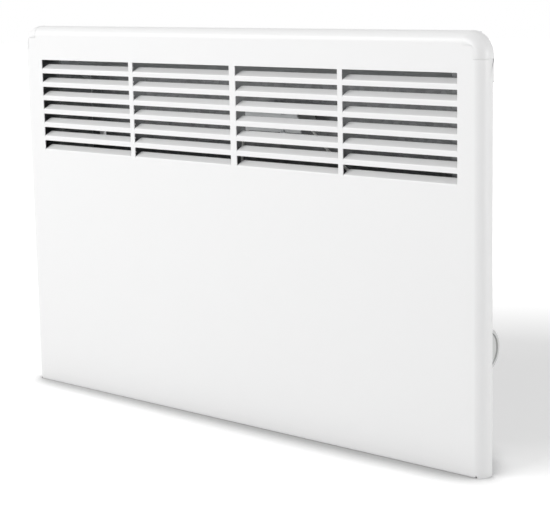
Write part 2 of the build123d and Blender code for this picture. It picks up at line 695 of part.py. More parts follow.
def heat_shield():
    """The sheet between the element and the front panel, with a flange at each end."""
    left = -WALL_IN + SHEET_SEAT
    right = PARTITION_X - ELEMENT_STEEL - SHEET_SEAT
    back = SHIELD_DEPTH + SHIELD_FLANGE
    points = [(left, back), (left, SHIELD_DEPTH), (right, SHIELD_DEPTH), (right, back)]
    sheet = folded_xy(points, 1.5, INNER_STEEL, (SHIELD_BOTTOM, SHIELD_TOP))
    return sheet - rivet_holes(RIVET_GAP)


def reflector():
    """The hat-section sheet behind the element, with its feet on the casing's back."""
    back = BACK_IN - SHEET_SEAT
    points = [
        (back, REFLECTOR_BOTTOM - 8),
        (back, REFLECTOR_BOTTOM),
        (REFLECTOR_DEPTH, REFLECTOR_BOTTOM),
        (REFLECTOR_DEPTH, REFLECTOR_TOP),
        (back, REFLECTOR_TOP),
        (back, REFLECTOR_TOP + REFLECTOR_FOOT),
    ]
    sheet = folded_yz(points, 1.2, INNER_STEEL, (-REFLECTOR_HALF, REFLECTOR_HALF))
    return sheet - rivet_holes(RIVET_GAP)


# ================================================================ element
def leg_heights():
    """The heights of the element's two straight legs."""
    return (ELEMENT_LOW, ELEMENT_LOW + ELEMENT_RISE)


def sheath_holes(xs):
    """Holes for both legs of the sheath through an upright sheet."""
    return [rod_x(xs, ELEMENT_DEPTH, z, SHEATH_R + SHEATH_GAP) for z in leg_heights()]


def sheath_end():
    """The x at which the sheath's legs end."""
    return PARTITION_X + 3.0


def element_sheath():
    """The hairpin sheath."""
    low, high = leg_heights()
    radius = ELEMENT_RISE / 2
    y = at(ELEMENT_DEPTH)
    path = Wire([
        Line((sheath_end(), y, low), (ELEMENT_LEFT, y, low)).edge(),
        ThreePointArc(
            (ELEMENT_LEFT, y, low), (ELEMENT_LEFT - radius, y, low + radius), (ELEMENT_LEFT, y, high)
        ).edge(),
        Line((ELEMENT_LEFT, y, high), (sheath_end(), y, high)).edge(),
    ])
    return sweep(Plane(path @ 0, z_dir=path % 0) * Circle(SHEATH_R), path=path)


def element_fins():
    """The row of pressed fins on the sheath."""
    middle = (ELEMENT_PLATE_X + PARTITION_X) / 2
    first = middle - (FIN_COUNT - 1) / 2 * FIN_PITCH
    low, high = ELEMENT_LOW - FIN_MARGIN, ELEMENT_LOW + ELEMENT_RISE + FIN_MARGIN
    fin = block((0, FIN_THICK), FIN_DEPTHS, (low, high))
    fin = fillet(fin.edges().filter_by(Axis.X), 4)
    fin -= sheath_holes((-2, 2))
    return [Pos(first + i * FIN_PITCH, 0, 0) * fin for i in range(FIN_COUNT)]


def terminal_bushes():
    """Ceramic bushes in the ends of the sheath."""
    end = sheath_end()
    bushes = []
    for z in leg_heights():
        bush = rod_x((end, end + BUSH_LENGTH), ELEMENT_DEPTH, z, BUSH_R)
        bush = chamfer(bush.faces().sort_by(Axis.X)[-1].edges(), 0.8)
        bushes.append(bush - rod_x((end - 1, end + BUSH_LENGTH + 1), ELEMENT_DEPTH, z, PIN_R + RUN_GAP))
    return bushes


def terminal_pins():
    """The element's cold pins."""
    end = sheath_end()
    return [rod_x((end, end + PIN_LENGTH), ELEMENT_DEPTH, z, PIN_R) for z in leg_heights()]


# ================================================================ thermal cut-out
def cutout_bracket():
    """The folded plate that carries the cut-out behind the louvres."""
    back = BACK_IN - SHEET_SEAT
    points = [
        (back, CUTOUT_TOP - CUTOUT_FOOT),
        (back, CUTOUT_TOP),
        (CUTOUT_DEPTH, CUTOUT_TOP),
        (CUTOUT_DEPTH, CUTOUT_BOTTOM),
    ]
    plate = folded_yz(points, 1.5, CUTOUT_STEEL, (CUTOUT_LEFT, CUTOUT_RIGHT))
    wedge = Polyline(
        (CUTOUT_RIGHT, CUTOUT_BOTTOM - 0.01),
        (CUTOUT_RIGHT - CUTOUT_SLANT, CUTOUT_TOP + 0.01),
        (CUTOUT_RIGHT + 5, CUTOUT_TOP + 0.01),
        (CUTOUT_RIGHT + 5, CUTOUT_BOTTOM - 0.01),
        close=True,
    )
    face = Plane((0, at(CUTOUT_DEPTH - 2), 0), x_dir=(1, 0, 0), z_dir=(0, -1, 0)) * make_face(wedge.edges())
    plate -= extrude(face, -(CASING_DEPTH - CUTOUT_DEPTH + 4))
    low_ear = CUTOUT_Z - CUTOUT_EAR_REACH
    plate += rod_y(CUTOUT_X, (CUTOUT_DEPTH, CUTOUT_DEPTH + CUTOUT_STEEL), low_ear, CUTOUT_EAR_R)
    holes = [rod_y(CUTOUT_X, (CUTOUT_DEPTH - 1, CUTOUT_DEPTH + 3), z, 1.3) for z in cutout_rivet_heights()]
    return plate - holes - rivet_holes(RIVET_GAP)


def cutout_rivet_heights():
    """Heights of the cut-out's two fixings."""
    return (CUTOUT_Z - CUTOUT_EAR_REACH, CUTOUT_Z + CUTOUT_EAR_REACH)


def thermal_cutout():
    """The disc cut-out: an eared flange and a moulded body."""
    face = CUTOUT_DEPTH + CUTOUT_STEEL
    low, high = cutout_rivet_heights()
    flange = block((CUTOUT_X - 3.5, CUTOUT_X + 3.5), (face, face + CUTOUT_FLANGE), (low, high))
    flange += [rod_y(CUTOUT_X, (face, face + CUTOUT_FLANGE), z, 3.5) for z in (low, high)]
    body = rod_y(CUTOUT_X, (face, face + CUTOUT_BODY), CUTOUT_Z, CUTOUT_R)
    holes = [rod_y(CUTOUT_X, (face - 1, face + 2), z, 1.3) for z in (low, high)]
    return flange + body - holes


def cutout_rivets():
    """The two small fixings of the cut-out."""
    face = CUTOUT_DEPTH
    back = face + CUTOUT_STEEL + CUTOUT_FLANGE
    made = []
    for z in cutout_rivet_heights():
        head = rod_y(CUTOUT_X, (face - 1.5, face), z, 2.4)
        head = fillet(head.faces().sort_by(Axis.Y)[0].edges(), 0.8)
        made.append(head + rod_y(CUTOUT_X, (face, back), z, 1.27) + rod_y(CUTOUT_X, (back, back + 1), z, 2.0))
    return made


def cutout_tabs():
    """The cut-out's two blade terminals."""
    face = CUTOUT_DEPTH + CUTOUT_STEEL + CUTOUT_BODY
    zs = (CUTOUT_Z - TAB_HEIGHT / 2, CUTOUT_Z + TAB_HEIGHT / 2)
    inner = 4.0
    tabs = []
    for side in (-1, 1):
        ends = sorted((CUTOUT_X + side * inner, CUTOUT_X + side * (inner + TAB_LENGTH)))
        tabs.append(block(tuple(ends), (face, face + TAB_THICK), zs))
    return tabs


# ================================================================ thermostat and controls
def control_screw_places():
    """Depth and height of the four screws of the control plate."""
    low, high = CONTROL_BOTTOM + CONTROL_SCREW_EDGE, CONTROL_TOP - CONTROL_SCREW_EDGE
    front, back = CONTROL_DEPTHS[0] + CONTROL_SCREW_EDGE, CONTROL_DEPTHS[1] - CONTROL_SCREW_EDGE
    return [(d, z) for d in (front, back) for z in (low, high)]


def thermostat_screw_depths():
    """Depths of the two screws beside the thermostat's shaft."""
    return (KNOB_DEPTH - THERMOSTAT_SCREW_PITCH / 2, KNOB_DEPTH + THERMOSTAT_SCREW_PITCH / 2)


def control_plate():
    """The moulded plate on the casing's side, round the knob and the cord inlet."""
    outer = CASING_HALF + CONTROL_THICK
    plate = block((CASING_HALF, outer), CONTROL_DEPTHS, (CONTROL_BOTTOM, CONTROL_TOP))
    plate = fillet(plate.edges().filter_by(Axis.X), CONTROL_CORNER)
    plate = fillet(plate.faces().sort_by(Axis.X)[-1].edges(), 1.2)
    span = (CASING_HALF - 1, outer + 1)
    plate -= rod_x(span, KNOB_DEPTH, KNOB_Z, THERMOSTAT_BUSH_R + HOLE_GAP)
    plate -= rod_x(span, KNOB_DEPTH, GLAND_Z, GLAND_BODY_R + HOLE_GAP)
    plate -= [rod_x(span, d, z, CONTROL_SCREW_R + RUN_GAP) for d, z in control_screw_places()]
    plate -= [rod_x(span, d, KNOB_Z, THERMOSTAT_SCREW_R + RUN_GAP) for d in thermostat_screw_depths()]
    sink = (outer - THERMOSTAT_SCREW_HEAD - 0.1, outer + 1)
    plate -= [rod_x(sink, d, KNOB_Z, THERMOSTAT_SCREW_HEAD_R + RUN_GAP) for d in thermostat_screw_depths()]
    return plate


def control_screws():
    """The four screws of the control plate."""
    outer = CASING_HALF + CONTROL_THICK
    made = []
    for d, z in control_screw_places():
        head = rod_x((outer, outer + CONTROL_SCREW_HEAD), d, z, CONTROL_SCREW_HEAD_R)
        head = fillet(head.faces().sort_by(Axis.X)[-1].edges(), CONTROL_SCREW_HEAD / 2)
        slot = block((outer + 1, outer + 3), (d - 3, d + 3), (z - 0.35, z + 0.35))
        made.append(head - slot + rod_x((outer - CONTROL_SCREW_LENGTH, outer), d, z, CONTROL_SCREW_R))
    return made


def thermostat_body():
    """The thermostat's moulded body, with a blind bore for the shaft and two screw holes."""
    inner = WALL_IN - THERMOSTAT_LENGTH
    depths = (KNOB_DEPTH - THERMOSTAT_WIDTH / 2, KNOB_DEPTH + THERMOSTAT_WIDTH / 2)
    zs = (KNOB_Z - THERMOSTAT_HEIGHT / 2, KNOB_Z + THERMOSTAT_HEIGHT / 2)
    body = block((inner, WALL_IN), depths, zs)
    body = fillet(body.edges().filter_by(Axis.X), 2.5)
    ridge = block((inner - 4, inner), (KNOB_DEPTH - 10, KNOB_DEPTH + 10), (zs[0] + 8, zs[1] - 8))
    body += fillet(ridge.faces().sort_by(Axis.X)[0].edges(), 1.5)
    body -= rod_x((WALL_IN - SHAFT_IN_BODY - 0.5, WALL_IN + 1), KNOB_DEPTH, KNOB_Z, SHAFT_R + RUN_GAP)
    grip = (WALL_IN - THERMOSTAT_SCREW_GRIP, WALL_IN + 1)
    return body - [rod_x(grip, d, KNOB_Z, THERMOSTAT_SCREW_R + RUN_GAP) for d in thermostat_screw_depths()]


def thermostat_bush():
    """The brass bush that the shaft turns in."""
    span = (WALL_IN, WALL_IN + THERMOSTAT_BUSH_OUT)
    bush = rod_x(span, KNOB_DEPTH, KNOB_Z, THERMOSTAT_BUSH_R)
    return bush - rod_x((span[0] - 1, span[1] + 1), KNOB_DEPTH, KNOB_Z, SHAFT_R + RUN_GAP)


def thermostat_screws():
    """The two screws that hold the thermostat through the plate and the casing."""
    outer = CASING_HALF + CONTROL_THICK
    made = []
    for d in thermostat_screw_depths():
        head = rod_x((outer - THERMOSTAT_SCREW_HEAD, outer - 0.1), d, KNOB_Z, THERMOSTAT_SCREW_HEAD_R)
        shank = rod_x((WALL_IN - THERMOSTAT_SCREW_GRIP + 0.5, outer - 1), d, KNOB_Z, THERMOSTAT_SCREW_R)
        made.append(head + shank)
    return made


def knob_spans():
    """The x of the knob's underside, dish floor and face."""
    face = CASING_HALF + KNOB_FACE_OUT
    return face - KNOB_HEIGHT, face - KNOB_DISH, face


def d_shaft(xs, radius):
    """A round shaft with one flat, at the thermostat's axis."""
    shaft = rod_x(xs, KNOB_DEPTH, KNOB_Z, radius)
    flat = KNOB_Z + radius - SHAFT_FLAT
    return shaft - block((xs[0] - 1, xs[1] + 1), (KNOB_DEPTH - 5, KNOB_DEPTH + 5), (flat, flat + 5))


def thermostat_shaft():
    """The thermostat's shaft, flattened where the knob grips it."""
    under, dish, _ = knob_spans()
    bush_end = WALL_IN + THERMOSTAT_BUSH_OUT
    plain = rod_x((WALL_IN - SHAFT_IN_BODY, bush_end), KNOB_DEPTH, KNOB_Z, SHAFT_R)
    return plain + d_shaft((bush_end, dish - KNOB_ROOF - 0.3), SHAFT_R)


def thermostat_knob():
    """The fluted control knob, with a dished face, a grip bar and a hub on the shaft."""
    under, dish, face = knob_spans()
    knob = rod_x((under, face), KNOB_DEPTH, KNOB_Z, KNOB_R)
    knob = fillet(knob.faces().sort_by(Axis.X)[-1].edges(), 1.6)
    hollow = rod_x((dish, face + 1), KNOB_DEPTH, KNOB_Z, KNOB_DISH_R)
    half = KNOB_BAR_WIDTH / 2
    bar = block((dish - 1, face), (KNOB_DEPTH - half, KNOB_DEPTH + half), (KNOB_Z - KNOB_R, KNOB_Z + KNOB_R))
    bar = fillet(bar.faces().sort_by(Axis.X)[-1].edges().filter_by(Axis.Z), 1.2)
    knob -= hollow - bar
    cavity = rod_x((under - 1, under + KNOB_CAVITY), KNOB_DEPTH, KNOB_Z, KNOB_R - KNOB_SKIRT_WALL)
    cavity -= rod_x((under + KNOB_BUSH_ROOM, under + KNOB_CAVITY), KNOB_DEPTH, KNOB_Z, KNOB_HUB_R)
    knob -= cavity
    knob -= d_shaft((under, dish - KNOB_ROOF), SHAFT_R + SHAFT_GRIP)
    flutes = []
    for i in range(KNOB_FLUTES):
        angle = 2 * math.pi * (i + 0.5) / KNOB_FLUTES
        reach = KNOB_R + KNOB_FLUTE_R * 0.45
        flutes.append(
            rod_x(
                (under - 1, face - 2.5),
                KNOB_DEPTH + reach * math.cos(angle),
                KNOB_Z + reach * math.sin(angle),
                KNOB_FLUTE_R,
            )
        )
    return knob - flutes


def cord_gland():
    """The cord inlet: a ribbed head outside, a body through the wall and an open bore."""
    outer = CASING_HALF + CONTROL_THICK
    head = rod_x((outer, outer + GLAND_HEAD), KNOB_DEPTH, GLAND_Z, GLAND_HEAD_R)
    head = chamfer(head.faces().sort_by(Axis.X)[-1].edges(), 3.0)
    body = rod_x((outer - GLAND_TAIL, outer), KNOB_DEPTH, GLAND_Z, GLAND_BODY_R)
    bore = rod_x((outer - GLAND_TAIL - 1, outer + GLAND_HEAD + 1), KNOB_DEPTH, GLAND_Z, GLAND_BORE_R)
    return head + body - bore


def gland_nut():
    """The hexagonal nut inside the casing."""
    hexagon = Plane((WALL_IN - GLAND_NUT, at(KNOB_DEPTH), GLAND_Z), z_dir=(1, 0, 0)) * RegularPolygon(GLAND_NUT_R, 6)
    nut = extrude(hexagon, GLAND_NUT)
    return nut - rod_x((WALL_IN - GLAND_NUT - 1, WALL_IN + 1), KNOB_DEPTH, GLAND_Z, GLAND_BODY_R + RUN_GAP)


def block_screw_places():
    """The x and z of the terminal block's two screws, between its ways."""
    way = (BLOCK_XS[1] - BLOCK_XS[0]) / BLOCK_WAYS
    z = sum(BLOCK_ZS) / 2
    return [(BLOCK_XS[0] + way * i, z) for i in (1, 2)]


def block_way_xs():
    """The x of the middle of each way of the terminal block."""
    way = (BLOCK_XS[1] - BLOCK_XS[0]) / BLOCK_WAYS
    return [BLOCK_XS[0] + way * (i + 0.5) for i in range(BLOCK_WAYS)]


def terminal_block():
    """The three-way supply terminal block."""
    front = BACK_IN - BLOCK_DEPTH
    body = block(BLOCK_XS, (front, BACK_IN), BLOCK_ZS)
    body = fillet(body.faces().sort_by(Axis.Y)[0].edges(), 1.0)
    middle = sum(BLOCK_ZS) / 2
    for x, z in block_screw_places():
        body -= block((x - 0.6, x + 0.6), (front - 1, front + 5), BLOCK_ZS)
        body -= rod_y(x, (front - 1, BACK_IN + 1), z, CONTROL_SCREW_R + RUN_GAP)
        body -= rod_y(x, (front - 1, front + 6), z, CONTROL_SCREW_HEAD_R + RUN_GAP)
    for x in block_way_xs():
        body -= rod_y(x, (front - 1, front + 4), middle, 2.4)
        body -= Pos(x, at(front + 8), middle) * Cylinder(2.0, BLOCK_ZS[1] - BLOCK_ZS[0] + 2)
    return body


def block_screws():
    """The terminal block's fixing screws and its three clamping screws."""
    front = BACK_IN - BLOCK_DEPTH
    made = []
    for x, z in block_screw_places():
        head = rod_y(x, (front + 3.8, front + 6), z, CONTROL_SCREW_HEAD_R)
        made.append(head + rod_y(x, (front + 6, CASING_DEPTH + 0.6), z, CONTROL_SCREW_R))
    middle = sum(BLOCK_ZS) / 2
    for x in block_way_xs():
        screw = rod_y(x, (front + 1, front + 4), middle, 2.35)
        made.append(screw - block((x - 3, x + 3), (front, front + 2), (middle - 0.35, middle + 0.35)))
    return made


def earth_stud():
    """The earth bolt with its washer and nut."""
    bolt = rod_y(EARTH_X, (BACK_IN - EARTH_LENGTH, CASING_DEPTH), EARTH_Z, EARTH_R)
    bolt += rod_y(EARTH_X, (CASING_DEPTH, CASING_DEPTH + 1.6), EARTH_Z, 3.6)
    nut_face = BACK_IN - 4.4
    hexagon = Plane((EARTH_X, at(nut_face), EARTH_Z), x_dir=(1, 0, 0), z_dir=(0, 1, 0)) * RegularPolygon(4.0, 6)
    nut = extrude(hexagon, 3.2) - rod_y(EARTH_X, (nut_face - 1, BACK_IN), EARTH_Z, EARTH_R + RUN_GAP)
    washer = rod_y(EARTH_X, (BACK_IN - 1.1, BACK_IN), EARTH_Z, 4.5)
    washer -= rod_y(EARTH_X, (BACK_IN - 2, BACK_IN + 1), EARTH_Z, EARTH_R + RUN_GAP)
    return [bolt, nut, washer]


def sensor_bulb():
    """The thermostat's sensing bulb, low in the air inlet."""
    bulb = rod_x(BULB_XS, BULB_DEPTH, BULB_Z, BULB_R)
    return fillet(bulb.edges().filter_by(GeomType.CIRCLE), 1.5)


def bulb_clips():
    """Two saddle clips that hold the bulb on the casing's floor."""
    clips = []
    for x in (BULB_XS[0] + 12, BULB_XS[1] - 12):
        ring = rod_x((x - 3, x + 3), BULB_DEPTH, BULB_Z, BULB_R + 1.2)
        foot = block((x - 3, x + 3), (BULB_DEPTH - 7, BULB_DEPTH + 7), (CASING_STEEL, CASING_STEEL + 1))
        neck = block((x - 3, x + 3), (BULB_DEPTH - 1.5, BULB_DEPTH + 1.5), (CASING_STEEL, BULB_Z))
        clips.append(ring + foot + neck - rod_x((x - 4, x + 4), BULB_DEPTH, BULB_Z, BULB_R + RUN_GAP))
    return clips


# ================================================================ wiring
def leads():
    """Each internal lead and its route, as (x, depth, height) points from end to end."""
    tab_depth = CUTOUT_DEPTH + CUTOUT_STEEL + CUTOUT_BODY + TAB_THICK / 2
    tab_end = 4.0 + TAB_LENGTH + LEAD_END
    right_tab, left_tab = CUTOUT_X + tab_end, CUTOUT_X - tab_end
    tab_z = CUTOUT_Z - 0.2
    pin_end = sheath_end() + PIN_LENGTH
    low, high = leg_heights()
    neutral_x, earth_x, live_x = block_way_xs()
    entry = BLOCK_ZS[1]
    entry_depth = BACK_IN - BLOCK_DEPTH + 8
    half_body = THERMOSTAT_HEIGHT / 2
    body_in = WALL_IN - THERMOSTAT_LENGTH
    body_x = WALL_IN - THERMOSTAT_LENGTH / 2
    return {
        "lead_cutout_to_thermostat": (
            LEAD_R,
            [
                (right_tab, tab_depth, tab_z),
                (right_tab + 10.5, tab_depth - 0.4, tab_z - 1.6),
                (right_tab + 20.6, tab_depth - 1.9, tab_z - 9.7),
                (right_tab + 36.1, tab_depth - 2.4, tab_z - 24.6),
                (right_tab + 59.2, tab_depth - 2.4, tab_z - 41),
                (right_tab + 84.7, tab_depth - 2.4, tab_z - 63),
                (body_x - 64, KNOB_DEPTH, KNOB_Z + 98.7),
                (body_x - 36, KNOB_DEPTH - 1, KNOB_Z + 70.7),
                (body_x - 16, KNOB_DEPTH - 2, KNOB_Z + 50.7),
                (body_x - 7, KNOB_DEPTH - 2.5, KNOB_Z + 34.7),
                (body_x - 6, KNOB_DEPTH - 3, KNOB_Z + half_body + LEAD_END),
            ],
        ),
        "lead_cutout_to_element": (
            LEAD_R,
            [
                (left_tab, tab_depth, tab_z),
                (left_tab - 16, tab_depth, tab_z - 0.2),
                (left_tab - 30.5, tab_depth - 0.4, tab_z - 3.5),
                (left_tab - 40.5, tab_depth - 1.4, tab_z - 14),
                (left_tab - 43.5, tab_depth - 2.4, tab_z - 30),
                (left_tab - 44, tab_depth - 3.4, tab_z - 58),
                (left_tab - 42.5, ELEMENT_DEPTH + 0.5, SHIELD_TOP - 31),
                (left_tab - 35.3, ELEMENT_DEPTH, high + 94),
                (left_tab - 14.3, ELEMENT_DEPTH, high + 72),
                (left_tab + 17.7, ELEMENT_DEPTH, high + 62),
                (left_tab + 66.7, ELEMENT_DEPTH, high + 59.5),
                (PARTITION_X - 61, ELEMENT_DEPTH, high + 60.5),
                (PARTITION_X - 21, ELEMENT_DEPTH, high + 62.5),
                (PARTITION_X - 3, ELEMENT_DEPTH, high + 60),
                (PARTITION_X + 6.5, ELEMENT_DEPTH, high + 50),
                (PARTITION_X + 7.5, ELEMENT_DEPTH, high + 32),
                (PARTITION_X + 7.2, ELEMENT_DEPTH, high + 18),
                (PARTITION_X + 7, ELEMENT_DEPTH, high + BUSH_R + LEAD_END),
            ],
        ),
        "lead_block_to_thermostat": (
            LEAD_R,
            [
                (live_x, entry_depth, entry - 6),
                (live_x, entry_depth - 0.3, entry + 9),
                (body_x + 3.5, entry_depth - 0.8, GLAND_Z + 2),
                (body_x + 1, entry_depth - 1.3, KNOB_Z - half_body - 16),
                (body_x, entry_depth - 2.3, KNOB_Z - half_body - LEAD_END),
            ],
        ),
        "lead_block_to_element": (
            LEAD_R,
            [
                (neutral_x, entry_depth, entry - 6),
                (neutral_x, entry_depth - 0.8, entry + 5),
                (pin_end - 2, ELEMENT_DEPTH + 8, low - 1.2),
                (pin_end - 2.5, ELEMENT_DEPTH + PIN_R + LEAD_END, low),
            ],
        ),
        "earth_lead": (
            LEAD_R,
            [
                (earth_x, entry_depth, entry - 6),
                (earth_x, entry_depth - 0.1, entry + 9),
                (EARTH_X + 6, entry_depth + 0.7, EARTH_Z - 16),
                (EARTH_X + 4.2, BACK_IN - 6.8, EARTH_Z - 4.4),
            ],
        ),
        "thermostat_capillary": (
            CAPILLARY_R,
            [
                (body_in - LEAD_END, BULB_DEPTH - 2, KNOB_Z - 11.5),
                (body_in - 6, BULB_DEPTH - 2, KNOB_Z - 12),
                (body_in - 7.5, BULB_DEPTH - 1.5, KNOB_Z - 35),
                (body_in - 7.2, BULB_DEPTH - 1, BULB_Z + 38),
                (body_in - 7.6, BULB_DEPTH - 0.5, BULB_Z + 17),
                (body_in - 14, BULB_DEPTH, BULB_Z + 3),
                (PARTITION_X - 11, BULB_DEPTH, BULB_Z),
                (BULB_XS[1], BULB_DEPTH, BULB_Z),
            ],
        ),
    }


# ================================================================ wall bracket
def wall_screw_heights():
    """Heights of the wall screws, in the middle of the two bars."""
    return (ARM_BOTTOM + BAR_HEIGHT / 2, UPPER_BAR_TOP - BAR_HEIGHT / 2)


def latch_z():
    """Height of the latch pivots."""
    return HEIGHT - LATCH_DROP


def latch_pin_gap():
    """Depths of the latch plate in front of the bracket's ear."""
    ear = CASING_DEPTH + BRACKET_STANDOFF
    return (ear - LATCH_CLEAR - LATCH_THICK, ear - LATCH_CLEAR)


def wall_bracket():
    """The pressed bracket: two arms with side webs and hooks, two cross bars and two latch ears."""
    web_front = CASING_DEPTH + BRACKET_STANDOFF
    wall = (DEPTH - BRACKET_STEEL, DEPTH)
    arm_top = HEIGHT - ARM_TOP_DROP
    web_xs = (BRACKET_WEB_OUT - BRACKET_STEEL, BRACKET_WEB_OUT)
    arm_in = BRACKET_WEB_OUT - ARM_WIDTH
    arm = block((arm_in, BRACKET_WEB_OUT), wall, (ARM_BOTTOM, UPPER_BAR_TOP))
    arm += block(web_xs, (web_front, DEPTH), (ARM_BOTTOM, arm_top))
    arm += block((arm_in, BRACKET_WEB_OUT), (web_front, web_front + BRACKET_STEEL), (arm_top - EAR_DROP, arm_top))
    arm += block((arm_in + 8, BRACKET_WEB_OUT), wall, (UPPER_BAR_TOP - 1, arm_top))
    for top in HOOK_SLOT_TOPS:
        rest = top - HOOK_PLAY
        arm += block(web_xs, (web_front - HOOK_REACH, web_front + 1), (rest - HOOK_TONGUE, rest))
        arm += block(
            web_xs,
            (web_front - HOOK_REACH, web_front - HOOK_REACH + HOOK_NOSE),
            (rest - 1, rest + HOOK_RISE),
        )
    arm -= rod_y(LATCH_X, (web_front - 1, web_front + BRACKET_STEEL + 1), latch_z(), LATCH_PIN_R + 0.02)
    bracket = both_sides(arm)
    bars = [
        block((-BRACKET_WEB_OUT, BRACKET_WEB_OUT), wall, (low, low + BAR_HEIGHT))
        for low in (ARM_BOTTOM, UPPER_BAR_TOP - BAR_HEIGHT)
    ]
    holes = [
        rod_y(x, (DEPTH - BRACKET_STEEL - 1, DEPTH + 1), z, WALL_SCREW_R)
        for x in (-WALL_SCREW_X, WALL_SCREW_X)
        for z in wall_screw_heights()
    ]
    return bracket[0] + [bracket[1], *bars] - holes


def latch():
    """The right-hand latch: a hub on its pivot and a tongue that hangs over the casing's top."""
    z = latch_z()
    depths = latch_pin_gap()
    foot = CASING_TOP + LATCH_CLEAR
    tongue = block((LATCH_X - LATCH_WIDTH / 2, LATCH_X + LATCH_WIDTH / 2), depths, (foot, z))
    tongue = fillet(tongue.faces().sort_by(Axis.Z)[0].edges().filter_by(Axis.Y), LATCH_WIDTH / 2 - 0.3)
    lever = tongue + rod_y(LATCH_X, depths, z, LATCH_HUB_R)
    grip = block((LATCH_X - 0.8, LATCH_X + 0.8), (depths[0] - 2.0, depths[0] + 0.5), (foot + 1.5, z - LATCH_HUB_R - 0.5))
    lever += grip
    return lever - rod_y(LATCH_X, (depths[0] - 3, depths[1] + 1), z, LATCH_PIN_R + RUN_GAP)


def latch_pin():
    """The right-hand latch pivot, riveted in the ear."""
    z = latch_z()
    depths = latch_pin_gap()
    ear_back = CASING_DEPTH + BRACKET_STANDOFF + BRACKET_STEEL
    pin = rod_y(LATCH_X, (depths[0] - 0.2, ear_back), z, LATCH_PIN_R)
    pin += rod_y(LATCH_X, (depths[0] - 0.2 - LATCH_PIN_HEAD, depths[0] - 0.2), z, LATCH_PIN_HEAD_R)
    return pin + rod_y(LATCH_X, (ear_back, ear_back + LATCH_PIN_HEAD), z, LATCH_PIN_HEAD_R)


# ================================================================ the nodes
def main():
    """Builds every piece and writes one file for each."""
    os.makedirs("parts", exist_ok=True)
    write("front_panel", front_panel())
    right_cap = corner_cap()
    write("corner_cap_right", right_cap)
    write("corner_cap_left", mirror(right_cap, Plane.YZ))
    write("rear_casing", rear_casing())
    write("casing_screws", casing_screws())
    write("casing_rivets", rivets())
    write("air_deflector", air_deflector())
    write("heat_shield", heat_shield())
    write("reflector", reflector())
    write("partition", partition())
    write("element_plate", element_plate())
    write("element_sheath", element_sheath())
    write("element_fins", element_fins())
    write("terminal_bushes", terminal_bushes())
    write("terminal_pins", terminal_pins())
    write("cutout_bracket", cutout_bracket())
    write("thermal_cutout", thermal_cutout())
    write("cutout_rivets", cutout_rivets())
    write("cutout_tabs", cutout_tabs())
    write("control_plate", control_plate())
    write("control_screws", control_screws())
    write("thermostat_body", thermostat_body())
    write("thermostat_bush", thermostat_bush())
    write("thermostat_screws", thermostat_screws())
    write("thermostat_shaft", thermostat_shaft())
    write("thermostat_knob", thermostat_knob())
    write("cord_gland", cord_gland())
    write("gland_nut", gland_nut())
    write("terminal_block", terminal_block())
    write("block_screws", block_screws())
    write("earth_stud", earth_stud())
    write("sensor_bulb", sensor_bulb())
    write("bulb_clips", bulb_clips())
    for name, (radius, route) in leads().items():
        write(name, routed(name, route, radius))
    write("wall_bracket", wall_bracket())
    right_latch, right_pin = latch(), latch_pin()
    write("bracket_latch_right", right_latch)
    write("bracket_latch_left", mirror(right_latch, Plane.YZ))
    write("latch_pins", both_sides(right_pin))


main()
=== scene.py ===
"""Dresses the wall panel convector heater: fine pieces, finishes, studio and camera.

Everything is in metres in the shared frame: X along the heater, the louvred front faces -Y, Z up, and
the floor is at z = 0. A "depth" is measured from the front sheet's face back towards the wall.
"""

from __future__ import annotations

import json
import logging
import math
from collections.abc import Callable, Iterator
from contextlib import contextmanager
from dataclasses import dataclass, field
from enum import Enum

import bmesh
import bpy
from bpy.types import Material, Node, NodeSocket, NodeTree, Object
from mathutils import Matrix, Vector

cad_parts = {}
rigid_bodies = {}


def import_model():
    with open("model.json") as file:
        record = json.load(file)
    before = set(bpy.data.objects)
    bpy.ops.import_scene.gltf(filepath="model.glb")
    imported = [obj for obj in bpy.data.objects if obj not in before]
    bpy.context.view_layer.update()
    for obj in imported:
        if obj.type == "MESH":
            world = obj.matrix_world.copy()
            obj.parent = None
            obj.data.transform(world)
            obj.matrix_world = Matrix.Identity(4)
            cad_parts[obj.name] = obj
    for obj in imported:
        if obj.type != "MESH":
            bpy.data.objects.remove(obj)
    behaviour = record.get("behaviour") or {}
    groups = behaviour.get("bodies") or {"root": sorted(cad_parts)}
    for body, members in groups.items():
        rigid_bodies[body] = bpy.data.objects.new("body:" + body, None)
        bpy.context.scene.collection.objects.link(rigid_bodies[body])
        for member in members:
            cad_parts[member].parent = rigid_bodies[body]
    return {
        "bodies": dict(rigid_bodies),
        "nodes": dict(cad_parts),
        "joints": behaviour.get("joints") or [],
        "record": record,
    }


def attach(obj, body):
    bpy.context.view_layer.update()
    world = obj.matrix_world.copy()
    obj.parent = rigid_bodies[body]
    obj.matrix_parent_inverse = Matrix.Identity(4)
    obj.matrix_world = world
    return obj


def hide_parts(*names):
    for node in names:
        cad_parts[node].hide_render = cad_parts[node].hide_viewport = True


LOG = logging.getLogger("heater")
MM = 0.001
FRONT_FACE = -42.4 * MM  # y of the front sheet's face
HALF = 292.5  # half of the heater's width, in millimetres like every size of a piece
HEIGHT = 389.0
DOUBLE = 0.001  # corners this near to each other are one
TOUCH = 0.01  # what is this near to a plane lies on it
ALONG = 0.9  # a direction with this much of an axis runs along it
PAST = 1.0  # how far a solid that cuts runs past what it cuts
WELL_PAST = 5.0  # the same, where nothing else is near
BLACK = (0, 0, 0, 1)
WHITE = (1, 1, 1, 1)

Pair = tuple[float, float]
Span = tuple[float, float]  # from one value to another
Triple = tuple[float, float, float]


# ---------------------------------------------------------------- colours and shader nodes


